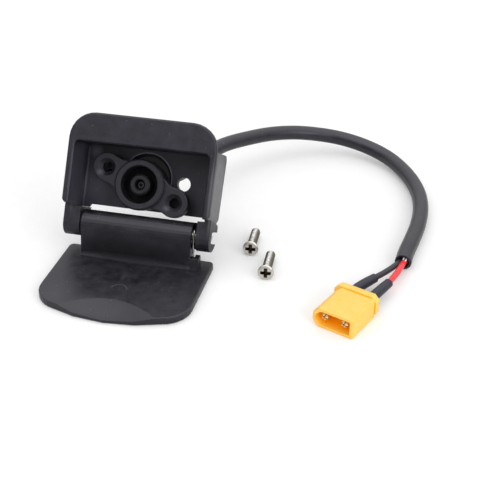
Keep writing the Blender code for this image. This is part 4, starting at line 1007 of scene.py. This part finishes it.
def make_screw(index):
    (x, y), turn = SCREW_PLACES[index - 1]
    tilt = asin((SCREW_HEAD_RADIUS - SCREW_SHANK_RADIUS) / SCREW_LENGTH)
    lying = (Matrix.Translation((x, y, SCREW_HEAD_RADIUS + SCREW_LIFT)) @ Matrix.Rotation(turn, 4, "Z")
             @ Matrix.Rotation(-pi / 2 - tilt, 4, "X"))
    blank = ring_stack(screw_rings(), SCREW_SIDES, Matrix.Identity(4))
    wedges = [cross_wedge(CROSS_SPAN / 2, CROSS_WIDTH / 2), cross_wedge(CROSS_WIDTH / 2, CROSS_SPAN / 2)]
    screw = cut_out(blank, wedges)
    paint_screw(screw)
    bmesh.ops.transform(screw, matrix=lying, verts=screw.verts)
    piece = add_piece("threaded_screw_%d" % index, screw, nodes=["screw_%d" % index])
    for finish in (SCREW_HEAD, SCREW_THREAD_SHADE_AND_HIGHLIGHT, SCREW_RECESS):
        piece.data.materials.append(finish)


for index in (1, 2):
    make_screw(index)

# %% [markdown]
# ## Hinge pin and spring
# The pin is a drawn steel rod, and its right end is splined so that it bites in the ear. The closing
# spring is wound round it: six turns of thin wire and a leg that presses on the cover's ledge.

# %% Splined pin
PIN_RADIUS = 0.00115
PIN_END = 0.0182
PIN_CHAMFER = 0.0002
SPLINE_LENGTH = 0.0024
SPLINE_DEPTH = 0.00012
SPLINE_STEP = 0.0001
SPLINE_COUNT = 14
PIN_SIDES = 56


def splined(radius):
    """Radius of the splines, as a function of the angle."""
    return lambda angle: radius - SPLINE_DEPTH * (0.5 - 0.5 * cos(angle * SPLINE_COUNT))


pin_rings = [
    (-PIN_END, PIN_RADIUS - PIN_CHAMFER), (-PIN_END + PIN_CHAMFER, PIN_RADIUS),
    (PIN_END - SPLINE_LENGTH, PIN_RADIUS), (PIN_END - SPLINE_LENGTH + SPLINE_STEP, splined(PIN_RADIUS)),
    (PIN_END - 3 * SPLINE_STEP, splined(PIN_RADIUS)),
    (PIN_END - SPLINE_STEP, splined(PIN_RADIUS - PIN_CHAMFER)),
    (PIN_END, PIN_RADIUS - 2 * PIN_CHAMFER), (PIN_END - PIN_CHAMFER, PIN_RADIUS - 3 * PIN_CHAMFER),
]
along_hinge = Matrix.Translation(HOUSING_SEAT) @ Matrix.Rotation(pi / 2, 4, "Y")
pin = add_piece("splined_pin", ring_stack(pin_rings, PIN_SIDES, along_hinge), nodes=["hinge_pin"])
dress(pin, STEEL)

# %% [markdown]
# A screw modifier could wind the coil, but it can't end in a leg. A smooth line through twelve knots a turn
# can, so the spring is one tube, from its tang at the pin round the coil and down to its foot in the ledge.

# %% Closing spring
SPRING_COIL_RADIUS = 0.0019
SPRING_WIRE_RADIUS = 0.00027
SPRING_WIRE_SIDES = 10
SPRING_WIRE_RIM = 0.00006
SPRING_CUTS = 3
SPRING_TURNS = 6
SPRING_KNOTS = 12
SPRING_INNER_X = 0.009325
SPRING_OUTER_X = 0.014125
SPRING_FOOT = Vector((-0.0030, -0.00407))
PIN_CLEARANCE = 0.0003


def spring_knots():
    """From a tang at the pin, round the coil, and down the leg to the ledge."""
    off = acos(SPRING_COIL_RADIUS / SPRING_FOOT.length)
    leave = atan2(SPRING_FOOT.y, SPRING_FOOT.x) + tau - off
    count = SPRING_TURNS * SPRING_KNOTS
    points = []
    for step in range(count + 1):
        angle = leave - tau * SPRING_TURNS * (1 - step / count)
        x = SPRING_INNER_X + (SPRING_OUTER_X - SPRING_INNER_X) * step / count
        points.append(HINGE + Vector((x, SPRING_COIL_RADIUS * cos(angle), SPRING_COIL_RADIUS * sin(angle))))
    share = (PIN_RADIUS + PIN_CLEARANCE + SPRING_WIRE_RADIUS) / SPRING_COIL_RADIUS
    first = points[0]
    tang = Vector((first.x, HINGE.y + (first.y - HINGE.y) * share, HINGE.z + (first.z - HINGE.z) * share))
    return [tang] + points + [HINGE + Vector((SPRING_OUTER_X, *SPRING_FOOT))]


wire_line = smooth_line(spring_knots(), SPRING_CUTS)
wire = tube_mesh(wire_line, SPRING_WIRE_RADIUS, SPRING_WIRE_SIDES, rim=SPRING_WIRE_RIM)
spring = add_piece("closing_spring", wire, "cover", ["torsion_spring"])
dress(spring, SPRING_STEEL_SHADED)
print("spring wire %.4f m" % line_length(wire_line))

# %% [markdown]
# ## Light and floor
# The product stands on white, in a light tent with a large bright panel on its right. Two area lamps and
# a pale world do the same here: one lamp hangs above and one stands on the right.

# %% Lamps


def add_panel(name, place, target, size, power):
    """A square area lamp at a place, turned to face the target."""
    data = bpy.data.lights.new(name, "AREA")
    data.shape, data.size, data.energy = "SQUARE", size, power
    lamp = bpy.data.objects.new(name, data)
    bpy.context.scene.collection.objects.link(lamp)
    lamp.location = place
    lamp.rotation_euler = (Vector(target) - Vector(place)).to_track_quat("-Z", "Y").to_euler()
    print(name, power, "W")


MIDDLE = (0.02, 0.02, 0.01)
for name, place, size, power in (
    ("panel_top", (-0.10, -0.10, 0.55), 0.50, 0.45),
    ("panel_right", (0.45, -0.30, 0.24), 0.35, 1.1),
):
    add_panel(name, place, MIDDLE, size, power)

# %% [markdown]
# Glossy plastic shows the tent more than the lamps. An image of a tent could light it, but a few numbers do:
# dark at the floor's edge, walls that are brighter behind than in front, and a bright roof. Matt light stays
# even, and the camera sees plain white.

# %% The tent's brightness by direction
TENT_LIGHT = 0.92
TENT_LOW, TENT_FRONT, TENT_BACK, TENT_TOP = 0.06, 0.64, 1.17, 2.2
TENT_SKIRT = (0.0, 0.25)
TENT_ROOF = (0.55, 0.85)
TENT_DEPTH = (-0.3, 0.3)


def seen_by(tree, *kinds):
    """1 for a ray of one of the named kinds, such as Is Camera Ray, and 0 for the rest."""
    path = put(tree, "ShaderNodeLightPath").outputs
    amount = path[kinds[0]]
    for kind in kinds[1:]:
        amount = calc(tree, "MAXIMUM", amount, path[kind])
    return amount


def make_world():
    """White to the camera, even for matt light, and brighter above than in front for reflections."""
    world = bpy.data.worlds.new("white_tent")
    world.use_nodes = True
    tree = world.node_tree
    tree.nodes.clear()
    seen = put(tree, "ShaderNodeTexCoord").outputs["Generated"]
    way = put(tree, "ShaderNodeSeparateXYZ", Vector=seen).outputs
    low = remap(tree, way["Z"], *TENT_SKIRT, 1.0, 0.0)
    roof = remap(tree, way["Z"], *TENT_ROOF)
    wall = calc(tree, "SUBTRACT", calc(tree, "SUBTRACT", 1.0, low), roof)
    behind = remap(tree, way["Y"], *TENT_DEPTH, TENT_FRONT, TENT_BACK)
    mirrored = calc(tree, "MULTIPLY", wall, behind)
    mirrored = calc(tree, "MULTIPLY_ADD", low, TENT_LOW, mirrored)
    mirrored = calc(tree, "MULTIPLY_ADD", roof, TENT_TOP, mirrored)
    glossy = seen_by(tree, "Is Glossy Ray")
    plain = calc(tree, "MULTIPLY_ADD", glossy, calc(tree, "SUBTRACT", mirrored, TENT_LIGHT), TENT_LIGHT)
    direct = seen_by(tree, "Is Camera Ray", "Is Transmission Ray")
    rest = calc(tree, "MULTIPLY_ADD", direct, calc(tree, "SUBTRACT", 1.0, plain), plain)
    back_cloth = put(tree, "ShaderNodeBackground", Color=(1, 1, 1, 1), Strength=rest)
    put(tree, "ShaderNodeOutputWorld", Surface=back_cloth.outputs[0])
    bpy.context.scene.world = world
    print("world", world.name)


make_world()

# %% [markdown]
# The floor is white paper. It glows a little for the camera and for reflections, so that it reads as the
# white backdrop and still keeps the object's shadow.

# %% Floor that stays white and keeps the shadow
FLOOR_GLOW = 0.16
FLOOR_MIRRORED = 0.05
FLOOR_HALF_SIZE = 2.0
FLOOR_DROP = 0.00002
PAPER_SCALE = 300.0
PAPER_WHITES = (0.80, 0.84)


def make_floor():
    bm = bmesh.new()
    bmesh.ops.create_grid(bm, x_segments=4, y_segments=4, size=FLOOR_HALF_SIZE)
    mesh = bpy.data.meshes.new("floor")
    bm.to_mesh(mesh)
    bm.free()
    floor = bpy.data.objects.new("floor", mesh)
    floor.location.z = -FLOOR_DROP
    bpy.context.scene.collection.objects.link(floor)
    made, tree, shader = open_material("white_floor", Roughness=0.9, Specular_IOR_Level=0.1)
    spot = put(tree, "ShaderNodeTexCoord").outputs["Object"]
    paper = put(tree, "ShaderNodeTexNoise", Vector=spot, Scale=PAPER_SCALE, Detail=3.0)
    fill(tree, shader, Base_Color=remap(tree, paper.outputs["Fac"], 0.0, 1.0, *PAPER_WHITES))
    direct = seen_by(tree, "Is Camera Ray", "Is Transmission Ray")
    mirrored = calc(tree, "MULTIPLY", seen_by(tree, "Is Glossy Ray"), FLOOR_MIRRORED)
    glow = put(tree, "ShaderNodeEmission", Color=(1, 1, 1, 1),
               Strength=calc(tree, "MULTIPLY_ADD", direct, FLOOR_GLOW, mirrored))
    both = put(tree, "ShaderNodeAddShader", i0=shader.outputs[0], i1=glow.outputs[0])
    fill(tree, tree.nodes["Material Output"], Surface=both.outputs[0])
    dress(floor, made)


make_floor()
bpy.context.scene.view_settings.view_transform = "Standard"
print("stage set")
